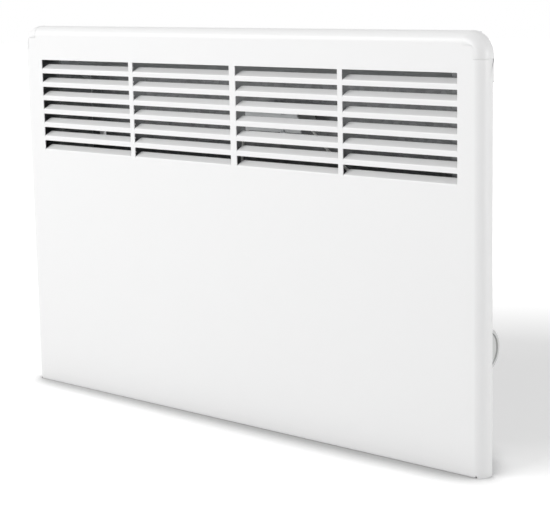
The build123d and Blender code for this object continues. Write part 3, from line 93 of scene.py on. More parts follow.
def linear(colour: str) -> tuple[float, float, float, float]:
    """Turns an sRGB hex colour into linear light.

    Args:
        colour: Six hex digits after a #.

    Returns:
        Red, green, blue and an alpha of one.
    """
    channels = [int(colour[i : i + 2], 16) / 255 for i in (1, 3, 5)]
    return *(c / 12.92 if c <= 0.04045 else ((c + 0.055) / 1.055) ** 2.4 for c in channels), 1.0


def add_node(tree: NodeTree, kind: str, inputs: dict | None = None, **settings: object) -> Node:
    """Adds a shader node with its settings and links.

    Args:
        tree: The material's or world's node tree.
        kind: Blender's name for the node type.
        inputs: Socket names or numbers, each with a value or another node's output.
        settings: Properties of the node itself.

    Returns:
        The new node.
    """
    node = tree.nodes.new(kind)
    for name, value in settings.items():
        setattr(node, name, value)
    for socket, value in (inputs or {}).items():
        if isinstance(value, NodeSocket):
            tree.links.new(value, node.inputs[socket])
        else:
            node.inputs[socket].default_value = value
    return node


# ---------------------------------------------------------------- finishes
@dataclass(frozen=True)
class Finish:
    """A surface: what it is made of, its colour and how it takes the light."""

    name: str
    colour: str
    roughness: float
    metallic: float = 0.0
    ior: float = 1.5

    def material(self) -> Material:
        """Builds the material, with the pattern that its surface has.

        Returns:
            A new node-based material.
        """
        made = bpy.data.materials.new(self.name)
        made.use_nodes = True
        tree = made.node_tree
        shader = tree.nodes["Principled BSDF"]
        shader.inputs["Base Color"].default_value = linear(self.colour)
        shader.inputs["Roughness"].default_value = self.roughness
        shader.inputs["Metallic"].default_value = self.metallic
        if not self.metallic:
            shader.inputs["IOR"].default_value = self.ior
        place = add_node(tree, "ShaderNodeTexCoord").outputs["Object"]
        self.pattern(tree, shader, place)
        return made

    def pattern(self, tree: NodeTree, shader: Node, place: NodeSocket) -> None:
        """Adds the surface's pattern. A plain finish has a faint unevenness of its gloss.

        Args:
            tree: The material's node tree.
            shader: Its Principled shader.
            place: The coordinates to read.
        """
        mottle(tree, shader, place, size=6 * MM, roughness=(self.roughness * 0.92, self.roughness * 1.08))


def mottle(
    tree: NodeTree,
    shader: Node,
    place: NodeSocket,
    size: float,
    roughness: Span,
    colours: tuple[str, str] | None = None,
    stretch: Triple = (1.0, 1.0, 1.0),
) -> None:
    """Varies a surface's gloss and colour over soft patches.

    Args:
        tree: The material's node tree.
        shader: Its Principled shader.
        place: The coordinates to read.
        size: How far apart the patches are, in metres.
        roughness: Roughness at the darkest and brightest patch.
        colours: Colour at the darkest and brightest patch.
        stretch: How much finer the pattern is along each axis.
    """
    mapped = add_node(tree, "ShaderNodeMapping", {"Vector": place, "Scale": stretch})
    patches = {"Vector": mapped.outputs[0], "Scale": 1 / size, "Detail": 4.0, "Roughness": 0.55}
    value = add_node(tree, "ShaderNodeTexNoise", patches).outputs["Fac"]
    low, high = roughness
    span = {"Value": value, "From Min": 0.3, "From Max": 0.7, "To Min": low, "To Max": high}
    tree.links.new(add_node(tree, "ShaderNodeMapRange", span).outputs[0], shader.inputs["Roughness"])
    if colours:
        dark, bright = (linear(c) for c in colours)
        mix = add_node(tree, "ShaderNodeMix", {"Factor": value, "A": dark, "B": bright}, data_type="RGBA")
        tree.links.new(mix.outputs["Result"], shader.inputs["Base Color"])


@dataclass(frozen=True)
class PowderCoat(Finish):
    """Polyester powder coat, sprayed and baked: it levels into a fine orange peel with a satin gloss."""

    peel: float = 2.2 * MM
    relief: float = 0.006 * MM

    def pattern(self, tree: NodeTree, shader: Node, place: NodeSocket) -> None:
        """Adds the orange peel and a faint unevenness of the gloss.

        Args:
            tree: The material's node tree.
            shader: Its Principled shader.
            place: The coordinates to read.
        """
        mottle(tree, shader, place, size=35 * MM, roughness=(self.roughness - 0.02, self.roughness + 0.03))
        waves = add_node(tree, "ShaderNodeTexNoise", {"Vector": place, "Scale": 1 / self.peel, "Detail": 1.0})
        raised = add_node(tree, "ShaderNodeBump", {"Height": waves.outputs["Fac"], "Distance": self.relief})
        tree.links.new(raised.outputs[0], shader.inputs["Normal"])


@dataclass(frozen=True)
class MouldedPlastic(Finish):
    """Injection-moulded plastic from a spark-eroded tool: an even, fine, matt grain."""

    grain: float = 0.6 * MM
    relief: float = 0.012 * MM

    def pattern(self, tree: NodeTree, shader: Node, place: NodeSocket) -> None:
        """Adds the grain. The real one is half as coarse, too fine to show.

        Args:
            tree: The material's node tree.
            shader: Its Principled shader.
            place: The coordinates to read.
        """
        fine = {"Vector": place, "Scale": 1 / self.grain, "Detail": 2.0, "Roughness": 0.6}
        grains = add_node(tree, "ShaderNodeTexNoise", fine)
        raised = add_node(tree, "ShaderNodeBump", {"Height": grains.outputs["Fac"], "Distance": self.relief})
        tree.links.new(raised.outputs[0], shader.inputs["Normal"])
        mottle(tree, shader, place, size=12 * MM, roughness=(self.roughness * 0.94, self.roughness * 1.06))


@dataclass(frozen=True)
class GalvanisedSheet(Finish):
    """Hot-dip galvanised steel sheet: zinc crystals that each catch the light a little differently."""

    spangle: float = 5 * MM
    drift: float = 4 * MM
    gloss: float = 0.07
    dark: str = "#9a9c9d"
    # Painted shade on the inner faces: the lowest and highest share of brightness kept, and the heights over
    # which it grows.
    painted_shade: Span = (0.42, 0.52)
    painted_shade_zs: Span = (260 * MM, 320 * MM)
    faces_front: float = -0.5

    def pattern(self, tree: NodeTree, shader: Node, place: NodeSocket) -> None:
        """Adds the spangle: cells of slightly different brightness and gloss, with painted shade on the faces
        inside the casing.

        Args:
            tree: The material's node tree.
            shader: Its Principled shader.
            place: The coordinates to read.
        """
        coarse = {"Vector": place, "Scale": 1 / (2 * self.spangle), "Detail": 2.0}
        warp = {0: add_node(tree, "ShaderNodeTexNoise", coarse).outputs["Color"], 1: (self.drift,) * 3}
        drift = add_node(tree, "ShaderNodeVectorMath", warp, operation="MULTIPLY")
        moved = add_node(tree, "ShaderNodeVectorMath", {0: place, 1: drift.outputs[0]}, operation="ADD")
        crystals = {"Vector": moved.outputs[0], "Scale": 1 / self.spangle}
        cells = add_node(tree, "ShaderNodeTexVoronoi", crystals, feature="F1")
        tone = add_node(tree, "ShaderNodeSeparateColor", {"Color": cells.outputs["Color"]})
        zinc = {"Factor": tone.outputs[0], "A": linear(self.dark), "B": linear(self.colour)}
        bright = add_node(tree, "ShaderNodeMix", zinc, data_type="RGBA")
        # The inner faces get painted shade, darker lower down.
        in_shade = {"Factor": self.kept(tree, place), "A": BLACK, "B": bright.outputs["Result"]}
        painted_shade = add_node(tree, "ShaderNodeMix", in_shade, data_type="RGBA")
        tree.links.new(painted_shade.outputs["Result"], shader.inputs["Base Color"])
        low, high = self.roughness - self.gloss, self.roughness + self.gloss
        spread = {"Value": tone.outputs[1], "To Min": low, "To Max": high}
        gloss = add_node(tree, "ShaderNodeMapRange", spread)
        tree.links.new(gloss.outputs[0], shader.inputs["Roughness"])

    def kept(self, tree: NodeTree, place: NodeSocket) -> NodeSocket:
        """Finds how much brightness the zinc keeps under painted shade: faces that look towards the front,
        into the casing, are darkened, the lower the more.

        Args:
            tree: The material's node tree.
            place: The coordinates to read.

        Returns:
            The share that is kept.
        """
        normal = add_node(tree, "ShaderNodeTexCoord").outputs["Normal"]
        facing = {0: add_node(tree, "ShaderNodeSeparateXYZ", {0: normal}).outputs["Y"], 1: self.faces_front}
        in_shade = add_node(tree, "ShaderNodeMath", facing, operation="LESS_THAN")
        height = add_node(tree, "ShaderNodeSeparateXYZ", {0: place}).outputs["Z"]
        (low, high), (least, most) = self.painted_shade_zs, self.painted_shade
        span = {"Value": height, "From Min": low, "From Max": high, "To Min": least, "To Max": most}
        painted_shade = add_node(tree, "ShaderNodeMapRange", span).outputs[0]
        choice = {"Value": in_shade.outputs[0], "To Min": 1.0, "To Max": painted_shade}
        return add_node(tree, "ShaderNodeMapRange", choice).outputs[0]


@dataclass(frozen=True)
class BareMetal(Finish):
    """Turned, pressed or drawn metal: bright, with faint tool marks."""

    dark: str = "#808080"
    patch: float = 1.2 * MM
    smoother: float = 0.06
    rougher: float = 0.08
    stretch: Triple = (1.0, 1.0, 1.0)

    def pattern(self, tree: NodeTree, shader: Node, place: NodeSocket) -> None:
        """Varies the colour and the gloss over the patches, which may be stretched into streaks.

        Args:
            tree: The material's node tree.
            shader: Its Principled shader.
            place: The coordinates to read.
        """
        gloss = (self.roughness - self.smoother, self.roughness + self.rougher)
        mottle(tree, shader, place, self.patch, gloss, (self.dark, self.colour), self.stretch)


@dataclass(frozen=True)
class RolledSheet(BareMetal):
    """Cold-rolled sheet, bare or aluminised: fine straight streaks from the rolls."""

    dark: str = "#9a9c9d"
    patch: float = 1.5 * MM
    stretch: Triple = (0.06, 1.0, 1.0)


@dataclass(frozen=True)
class OxidisedTube(BareMetal):
    """Stainless sheath after annealing: a thin dark oxide that shifts slowly from grey to olive brown."""

    patch: float = 30 * MM
    smoother: float = 0.08
    rougher: float = 0.1


@dataclass(frozen=True)
class StripedSleeve(Finish):
    """Extruded lead sleeve in two colours, with its stripe along the lead."""

    stripe: str = "#d8c81e"
    winding: float = 60.0
    stripe_from: float = 0.6

    def pattern(self, tree: NodeTree, shader: Node, place: NodeSocket) -> None:
        """Adds the stripe, which winds slowly round the lead.

        Args:
            tree: The material's node tree.
            shader: Its Principled shader.
            place: The coordinates to read.
        """
        bands = {"Vector": place, "Scale": self.winding, "Distortion": 0.0}
        wave = add_node(tree, "ShaderNodeTexWave", bands, bands_direction="DIAGONAL")
        above = {0: wave.outputs["Fac"], 1: self.stripe_from}
        split = add_node(tree, "ShaderNodeMath", above, operation="GREATER_THAN")
        sleeve = {"Factor": split.outputs[0], "A": linear(self.colour), "B": linear(self.stripe)}
        mix = add_node(tree, "ShaderNodeMix", sleeve, data_type="RGBA")
        tree.links.new(mix.outputs["Result"], shader.inputs["Base Color"])


# ---------------------------------------------------------------- modelling, with every size in millimetres
Test = Callable[[Vector, Vector], bool]


class Join(Enum):
    """What one solid does to another."""

    CUT = "DIFFERENCE"
    ADD = "UNION"
    SHARE = "INTERSECT"


class Pick(Enum):
    """What an edit takes hold of."""

    EDGES = "EDGE"
    FACES = "FACE"


def at(depth: float) -> float:
    """Returns the y, in metres, of a depth behind the front face."""
    return FRONT_FACE + depth * MM


def drawn(point: Vector) -> Vector:
    """Returns a place as on a drawing: x, depth behind the front face and height, in millimetres."""
    return Vector((point.x, point.y - FRONT_FACE, point.z)) / MM


def alone(piece: Object) -> None:
    """Selects one piece alone and makes it the active one.

    Args:
        piece: The piece.
    """
    bpy.ops.object.select_all(action="DESELECT")
    piece.select_set(True)
    bpy.context.view_layer.objects.active = piece


def settled(name: str) -> Object:
    """Names the new primitive and puts its place, turn and size into its mesh.

    Args:
        name: The piece's name.

    Returns:
        The piece, at the origin.
    """
    piece = bpy.context.active_object
    piece.name = piece.data.name = name
    bpy.ops.object.transform_apply(location=True, rotation=True, scale=True)
    return piece


def block(name: str, xs: Span, depths: Span, zs: Span) -> Object:
    """Adds a block between two x values, two depths and two heights.

    Args:
        name: The piece's name.
        xs: Its ends along the heater.
        depths: Its front and its back.
        zs: Its bottom and its top.

    Returns:
        The block.
    """
    bpy.ops.object.select_all(action="DESELECT")
    middle = (sum(xs) / 2 * MM, at(sum(depths) / 2), sum(zs) / 2 * MM)
    sizes = [(high - low) * MM for low, high in (xs, depths, zs)]
    bpy.ops.mesh.primitive_cube_add(size=1, location=middle, scale=sizes)
    return settled(name)


def rod(name: str, middle: Vector, turn: Triple, length: float, radius: float, sides: int) -> Object:
    """Adds a round bar.

    Args:
        name: The piece's name.
        middle: The place of its middle, in metres.
        turn: How it is turned from upright.
        length: Its length.
        radius: Its radius.
        sides: How many faces go round it.

    Returns:
        The bar.
    """
    bpy.ops.object.select_all(action="DESELECT")
    bpy.ops.mesh.primitive_cylinder_add(
        vertices=sides, radius=radius * MM, depth=length * MM, location=middle, rotation=turn
    )
    return settled(name)


def rod_x(name: str, xs: Span, depth: float, z: float, radius: float, sides: int) -> Object:
    """Adds a round bar along X between two x values, with its axis at a depth and a height."""
    middle = Vector((sum(xs) / 2 * MM, at(depth), z * MM))
    return rod(name, middle, (0, math.pi / 2, 0), xs[1] - xs[0], radius, sides)


def rod_y(name: str, x: float, depths: Span, z: float, radius: float, sides: int) -> Object:
    """Adds a round bar along Y between two depths, with its axis at an x and a height."""
    middle = Vector((x * MM, at(sum(depths) / 2), z * MM))
    return rod(name, middle, (math.pi / 2, 0, 0), depths[1] - depths[0], radius, sides)


@contextmanager
def edited(piece: Object, kind: Pick, wanted: Test) -> Iterator[None]:
    """Opens a piece in edit mode with some of its edges or faces selected.

    Args:
        piece: The piece.
        kind: Whether edges or faces are selected.
        wanted: Takes an edge's middle and direction, or a face's middle and normal, as drawn.

    Yields:
        Nothing, while the piece is in edit mode.
    """
    alone(piece)
    bpy.ops.object.mode_set(mode="EDIT")
    bpy.ops.mesh.select_mode(type=kind.value)
    bpy.ops.mesh.select_all(action="DESELECT")
    mesh = bmesh.from_edit_mesh(piece.data)
    if kind is Pick.EDGES:
        for edge in mesh.edges:
            start, end = (drawn(v.co) for v in edge.verts)
            if wanted((start + end) / 2, (end - start).normalized()):
                edge.select_set(True)
    else:
        for face in mesh.faces:
            if wanted(drawn(face.calc_center_median()), face.normal):
                face.select_set(True)
    mesh.select_flush_mode()
    bmesh.update_edit_mesh(piece.data)
    yield
    bpy.ops.object.mode_set(mode="OBJECT")


def round_off(piece: Object, wanted: Test, radius: float, segments: int) -> None:
    """Rounds some of a piece's edges.

    Args:
        piece: The piece.
        wanted: Says which edges, as in edited.
        radius: The radius.
        segments: How many faces make the round.
    """
    with edited(piece, Pick.EDGES, wanted):
        bpy.ops.mesh.bevel(offset=radius * MM, segments=segments, affect="EDGES", clamp_overlap=False)


def outwards(piece: Object) -> None:
    """Merges a closed piece's doubles and turns its faces outwards.

    Args:
        piece: The piece.
    """
    with edited(piece, Pick.FACES, lambda m, n: True):
        bpy.ops.mesh.remove_doubles(threshold=2 * DOUBLE * MM)
        bpy.ops.mesh.normals_make_consistent(inside=False)


def apply(piece: Object, kind: str, **settings: object) -> None:
    """Adds a modifier and applies it.

    Args:
        piece: The piece.
        kind: Blender's name for the modifier type.
        settings: The modifier's properties.
    """
    alone(piece)
    modifier = piece.modifiers.new(kind.lower(), kind)
    for name, value in settings.items():
        setattr(modifier, name, value)
    bpy.ops.object.modifier_apply(modifier=modifier.name)


def combine(piece: Object, tool: Object, how: Join) -> None:
    """Lets one solid act on another, and uses it up.

    Args:
        piece: The solid that stays.
        tool: The solid that acts on it.
        how: Whether it cuts, is added or keeps only what both share.
    """
    apply(piece, "BOOLEAN", operation=how.value, solver="EXACT", use_self=how is Join.ADD, object=tool)
    bpy.data.objects.remove(tool)


def copies(piece: Object, shifts: list[Triple]) -> Object:
    """Copies a piece to several places and joins the copies. The piece itself is used up.

    Args:
        piece: The piece that is repeated.
        shifts: How far each copy is moved, in millimetres.

    Returns:
        All the copies in one mesh.
    """
    made = []
    for shift in shifts:
        one = piece.copy()
        one.data = piece.data.copy()
        one.data.transform(Matrix.Translation(Vector(shift) * MM))
        bpy.context.scene.collection.objects.link(one)
        made.append(one)
    name = piece.name
    bpy.data.objects.remove(piece)
    return joined(name, made)


def joined(name: str, pieces: list[Object]) -> Object:
    """Joins pieces into one mesh.

    Args:
        name: The joined piece's name.
        pieces: The pieces.

    Returns:
        The joined piece.
    """
    alone(pieces[0])
    for piece in pieces:
        piece.select_set(True)
    bpy.ops.object.join()
    pieces[0].name = pieces[0].data.name = name
    return pieces[0]


def mirrored(piece: Object, name: str) -> Object:
    """Makes a piece's mirror image on the heater's other side.

    Args:
        piece: The piece.
        name: The image's name.

    Returns:
        The image, with its faces pointing outwards.
    """
    image = piece.copy()
    image.data = piece.data.copy()
    image.name = image.data.name = name
    image.data.transform(Matrix.Scale(-1, 4, (1, 0, 0)))
    image.data.flip_normals()
    bpy.context.scene.collection.objects.link(image)
    return image


def both_sides(piece: Object) -> Object:
    """Joins a piece with its mirror image."""
    return joined(piece.name, [piece, mirrored(piece, piece.name + "_image")])


def ring(count: int, radius: float, depth: float, z: float, start: float = 0.0) -> list[Triple]:
    """Finds evenly spaced places round a circle that faces along X.

    Args:
        count: How many places there are.
        radius: The circle's radius.
        depth: The depth of its centre.
        z: The height of its centre.
        start: How far round the first place is, in spacings.

    Returns:
        Each place's x, depth and height.
    """
    turns = [2 * math.pi * (i + start) / count for i in range(count)]
    return [(0, depth + radius * math.cos(t), z + radius * math.sin(t)) for t in turns]


def smoothed(piece: Object, angle: float = 32) -> None:
    """Shades a piece smoothly up to an angle between faces, with flat faces kept flat.

    Args:
        piece: The piece.
        angle: The angle, in degrees.
    """
    alone(piece)
    bpy.ops.object.shade_smooth_by_angle(angle=math.radians(angle))
    apply(piece, "WEIGHTED_NORMAL", keep_sharp=True, weight=100)


def ease(piece: Object, width: float) -> None:
    """Eases a piece's sharp edges with a narrow bevel."""
    apply(piece, "BEVEL", width=width * MM, segments=2, limit_method="ANGLE", angle_limit=math.radians(50))


def refined(node: Object, edge: float) -> Object:
    """Copies a CAD node's mesh, merges its loose triangles and shades it smoothly.

    Args:
        node: The CAD node.
        edge: How far its sharp edges are eased, or 0.

    Returns:
        The copy, as one closed mesh.
    """
    piece = node.copy()
    piece.data = node.data.copy()
    piece.name = piece.data.name = node.name + "_surface"
    bpy.context.scene.collection.objects.link(piece)
    with edited(piece, Pick.FACES, lambda m, n: True):
        bpy.ops.mesh.remove_doubles(threshold=DOUBLE * MM)
        bpy.ops.mesh.dissolve_limited(angle_limit=math.radians(0.5))
    if edge:
        ease(piece, edge)
    smoothed(piece)
    return piece


# ---------------------------------------------------------------- the finishes that are used
# Powder coat looks satin, with an orange peel that softens what it reflects.
WHITE_POWDER_COAT = PowderCoat("white_powder_coat", "#f1f1f1", 0.42)
BRACKET_POWDER_COAT = PowderCoat("bracket_powder_coat", "#ececec", 0.45)
# Moulded plastic looks matt and even. The caps' ABS is smoother, and the phenolic is nearly black.
WHITE_ABS = MouldedPlastic("white_abs", "#f0f0f0", 0.36, relief=0.005 * MM)
LATCH_POLYAMIDE = MouldedPlastic("latch_polyamide", "#e6e6e4", 0.45)
KNOB_ABS = MouldedPlastic("knob_grey_abs", "#d4d5d4", 0.48)
PLATE_ABS = MouldedPlastic("plate_grey_abs", "#d4d5d4", 0.5)
GLAND_POLYAMIDE = MouldedPlastic("gland_polyamide", "#b4b6b7", 0.5)
BLOCK_POLYAMIDE = MouldedPlastic("block_polyamide", "#e4e0d2", 0.45)
PHENOLIC = MouldedPlastic("moulded_phenolic", "#1b1a19", 0.35)
# Glazed ceramic looks creamy and wet.
STEATITE = Finish("glazed_steatite", "#e9e3d3", 0.28)
# Zinc shows grey crystals, with painted shade on its faces inside the casing, and rolled sheet a streaky
# sheen. The darker copy of the aluminised sheet is painted shade for the sheets inside the casing.
GALVANISED = GalvanisedSheet("galvanised_sheet", "#afb1b2", 0.45, metallic=0.8)
ALUMINISED = RolledSheet("aluminised_sheet", "#e2e4e5", 0.4, metallic=0.6, dark="#b4b6b7")
PAINTED_SHADE_SHEET = RolledSheet("painted_shade_aluminised_sheet", "#8c8d8e", 0.5, metallic=0.7, dark="#7b7c7d")
FIN_ALUMINIUM = RolledSheet("fin_aluminium", "#c6c8ca", 0.34, metallic=1.0, stretch=(1.0, 1.0, 0.06))
# The oxide on the element looks dark and warm, with a soft shine.
ELEMENT_TUBE = OxidisedTube("annealed_element_tube", "#4a4032", 0.45, metallic=0.9, dark="#3c3b38")
# Small metal parts look bright, and their marks break up the highlights.
ZINC_PLATE = BareMetal("zinc_plated_steel", "#cfd2d4", 0.3, metallic=1.0, dark="#a2a6a9")
BRASS = BareMetal("turned_brass", "#cfa756", 0.3, metallic=1.0, dark="#a8823a")
COPPER = BareMetal("drawn_copper", "#c77f58", 0.32, metallic=1.0, dark="#9c5b3c")
# Sleeves on leads have plain colours and a low shine. The earth lead has a yellow stripe.
LEAD_WHITE = Finish("white_silicone_sleeve", "#e8e8e4", 0.5)
LEAD_BROWN = Finish("brown_silicone_sleeve", "#5a3520", 0.5)
LEAD_BLUE = Finish("blue_silicone_sleeve", "#28549c", 0.5)
LEAD_EARTH = StripedSleeve("earth_sleeve", "#5c8a2a", 0.5)

NODE_FINISHES: dict[str, Finish] = {
    "front_panel": WHITE_POWDER_COAT,
    "corner_cap_left": WHITE_ABS,
    "corner_cap_right": WHITE_ABS,
    "control_plate": PLATE_ABS,
    "control_screws": ZINC_PLATE,
    "thermostat_knob": KNOB_ABS,
    "cord_gland": GLAND_POLYAMIDE,
    "rear_casing": GALVANISED,
    "casing_screws": ZINC_PLATE,
    "casing_rivets": FIN_ALUMINIUM,
    "air_deflector": ALUMINISED,
    # These sheets inside the casing take the darker copy of the aluminised sheet: painted shade.
    "heat_shield": PAINTED_SHADE_SHEET,
    "reflector": PAINTED_SHADE_SHEET,
    "partition": PAINTED_SHADE_SHEET,
    "element_plate": PAINTED_SHADE_SHEET,
    "element_sheath": ELEMENT_TUBE,
    "element_fins": FIN_ALUMINIUM,
    "terminal_bushes": STEATITE,
    "terminal_pins": ZINC_PLATE,
    "cutout_bracket": ALUMINISED,
    "thermal_cutout": PHENOLIC,
    "cutout_rivets": ZINC_PLATE,
    "cutout_tabs": BRASS,
    "thermostat_bush": BRASS,
    "thermostat_screws": ZINC_PLATE,
    "thermostat_shaft": ZINC_PLATE,
    "gland_nut": GLAND_POLYAMIDE,
    "block_screws": ZINC_PLATE,
    "earth_stud": ZINC_PLATE,
    "sensor_bulb": COPPER,
    "bulb_clips": ZINC_PLATE,
    "latch_pins": ZINC_PLATE,
    "lead_cutout_to_thermostat": LEAD_WHITE,
    "lead_cutout_to_element": LEAD_WHITE,
    "lead_block_to_thermostat": LEAD_BROWN,
    "lead_block_to_element": LEAD_BLUE,
    "earth_lead": LEAD_EARTH,
    "thermostat_capillary": COPPER,
    "wall_bracket": BRACKET_POWDER_COAT,
    "bracket_latch_left": LATCH_POLYAMIDE,
    "bracket_latch_right": LATCH_POLYAMIDE,
    "terminal_block": BLOCK_POLYAMIDE,
    "thermostat_body": PHENOLIC,
}


@dataclass
class Workshop:
    """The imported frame, with the materials made so far and the nodes that a piece has replaced."""

    frame: dict
    made: dict[str, Material] = field(default_factory=dict)
    replaced: set[str] = field(default_factory=set)

    def finish(self, piece: Object, finish: Finish) -> None:
        """Gives a piece one finish.

        Args:
            piece: The piece.
            finish: Its finish.
        """
        if finish.name not in self.made:
            self.made[finish.name] = finish.material()
        piece.data.materials.clear()
        piece.data.materials.append(self.made[finish.name])

    def dress(self) -> None:
        """Gives every CAD node its finish."""
        for name, node in self.frame["nodes"].items():
            self.finish(node, NODE_FINISHES[name])
        LOG.info("dressed %d nodes in %d finishes", len(self.frame["nodes"]), len(self.made))

    def body_of(self, node: str) -> str:
        """Returns the name of the body that a node belongs to."""
        bodies = self.frame["record"]["behaviour"]["bodies"]
        return next(body for body, members in bodies.items() if node in members)

    def place(self, piece: Object, node: str) -> None:
        """Puts a finished piece in a node's stead, on the same body and with the same slot.

        Args:
            piece: The piece.
            node: The CAD node.
        """
        self.finish(piece, NODE_FINISHES[node])
        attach(piece, self.body_of(node))
        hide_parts(node)
        self.replaced.add(node)
        LOG.info("%s: %d faces, on %s", piece.name, len(piece.data.polygons), node)


# ---------------------------------------------------------------- front panel and corner caps
@dataclass
class CornerCaps:
    """The moulded caps over the sheet's two open top corners, each with a tail behind the side flange."""

    radius: float = 21.0
    drop: float = 23.5
    side_strip: float = 10.5
    top_strip: float = 11.7
    step_radius: float = 3.0
    proud: float = 0.2
    edge: float = 0.18
    deep: float = 16.1
    bend: float = 10.0
    tail_length: float = 20.0
    tail_overlap: float = 4.0
    tail_taper: float = 8.0
    tail_width: float = 1.9
    tail_depths: Span = (11.8, 16.1)
    blank_wide: float = 60.0
    blank_high: float = 80.0

    def region(self, grow: float, depths: Span) -> Object:
        """Models the corner that the cap takes from the sheet: two strips beside a rounded step.

        Args:
            grow: How much larger it is made all round.
            depths: Its front and its back.

        Returns:
            The solid.
        """
        x_in, z_in = HALF - self.radius - grow, HEIGHT - self.drop - grow
        x_step, z_step = HALF - self.side_strip - grow, HEIGHT - self.top_strip - grow
        whole = block("corner_region", (x_in, HALF + WELL_PAST), depths, (z_in, HEIGHT + WELL_PAST))
        through = (depths[0] - PAST, depths[1] + PAST)
        step = block("corner_step", (x_in - WELL_PAST, x_step), through, (z_in - WELL_PAST, z_step))
        round_off(step, lambda m, d: abs(d.y) > ALONG and m.x > x_in and m.z > z_in, self.step_radius, 6)
        combine(whole, step, Join.CUT)
        return whole

    def tail(self, grow: float) -> Object:
        """Models the tail, with its slanted lower end.

        Args:
            grow: How much larger it is made.

        Returns:
            The solid.
        """
        low = HEIGHT - self.drop - self.tail_length - grow
        high = HEIGHT - self.drop + self.tail_overlap
        front, back = self.tail_depths[0] - grow, self.tail_depths[1]
        tail = block("cap_tail", (HALF - self.tail_width - grow, HALF), (front, back), (low, high))
        with edited(tail, Pick.EDGES, lambda m, d: m.y < front + TOUCH and m.z < low + TOUCH):
            bpy.ops.transform.translate(value=(0, 0, self.tail_taper * MM))
        return tail

    def build(self, shop: Workshop) -> None:
        """Models both caps and puts them in their nodes' stead.

        Args:
            shop: The workshop.
        """
        out, left, low = self.proud, HALF - self.blank_wide, HEIGHT - self.blank_high
        cap = block("corner_cap_right_shell", (left, HALF + out), (-out, self.deep), (low, HEIGHT + out))
        round_off(cap, lambda m, d: abs(d.y) > ALONG and m.x > HALF and m.z > HEIGHT, self.radius + out, 20)
        x_in, z_in = left + TOUCH, low + TOUCH
        round_off(cap, lambda m, d: m.y < TOUCH - out and m.x > x_in and m.z > z_in, self.bend + out, 14)
        combine(cap, self.region(0, (-PAST, self.deep)), Join.SHARE)
        combine(cap, self.tail(0), Join.ADD)
        ease(cap, self.edge)
        smoothed(cap)
        shop.place(cap, "corner_cap_right")
        shop.place(mirrored(cap, "corner_cap_left_shell"), "corner_cap_left")


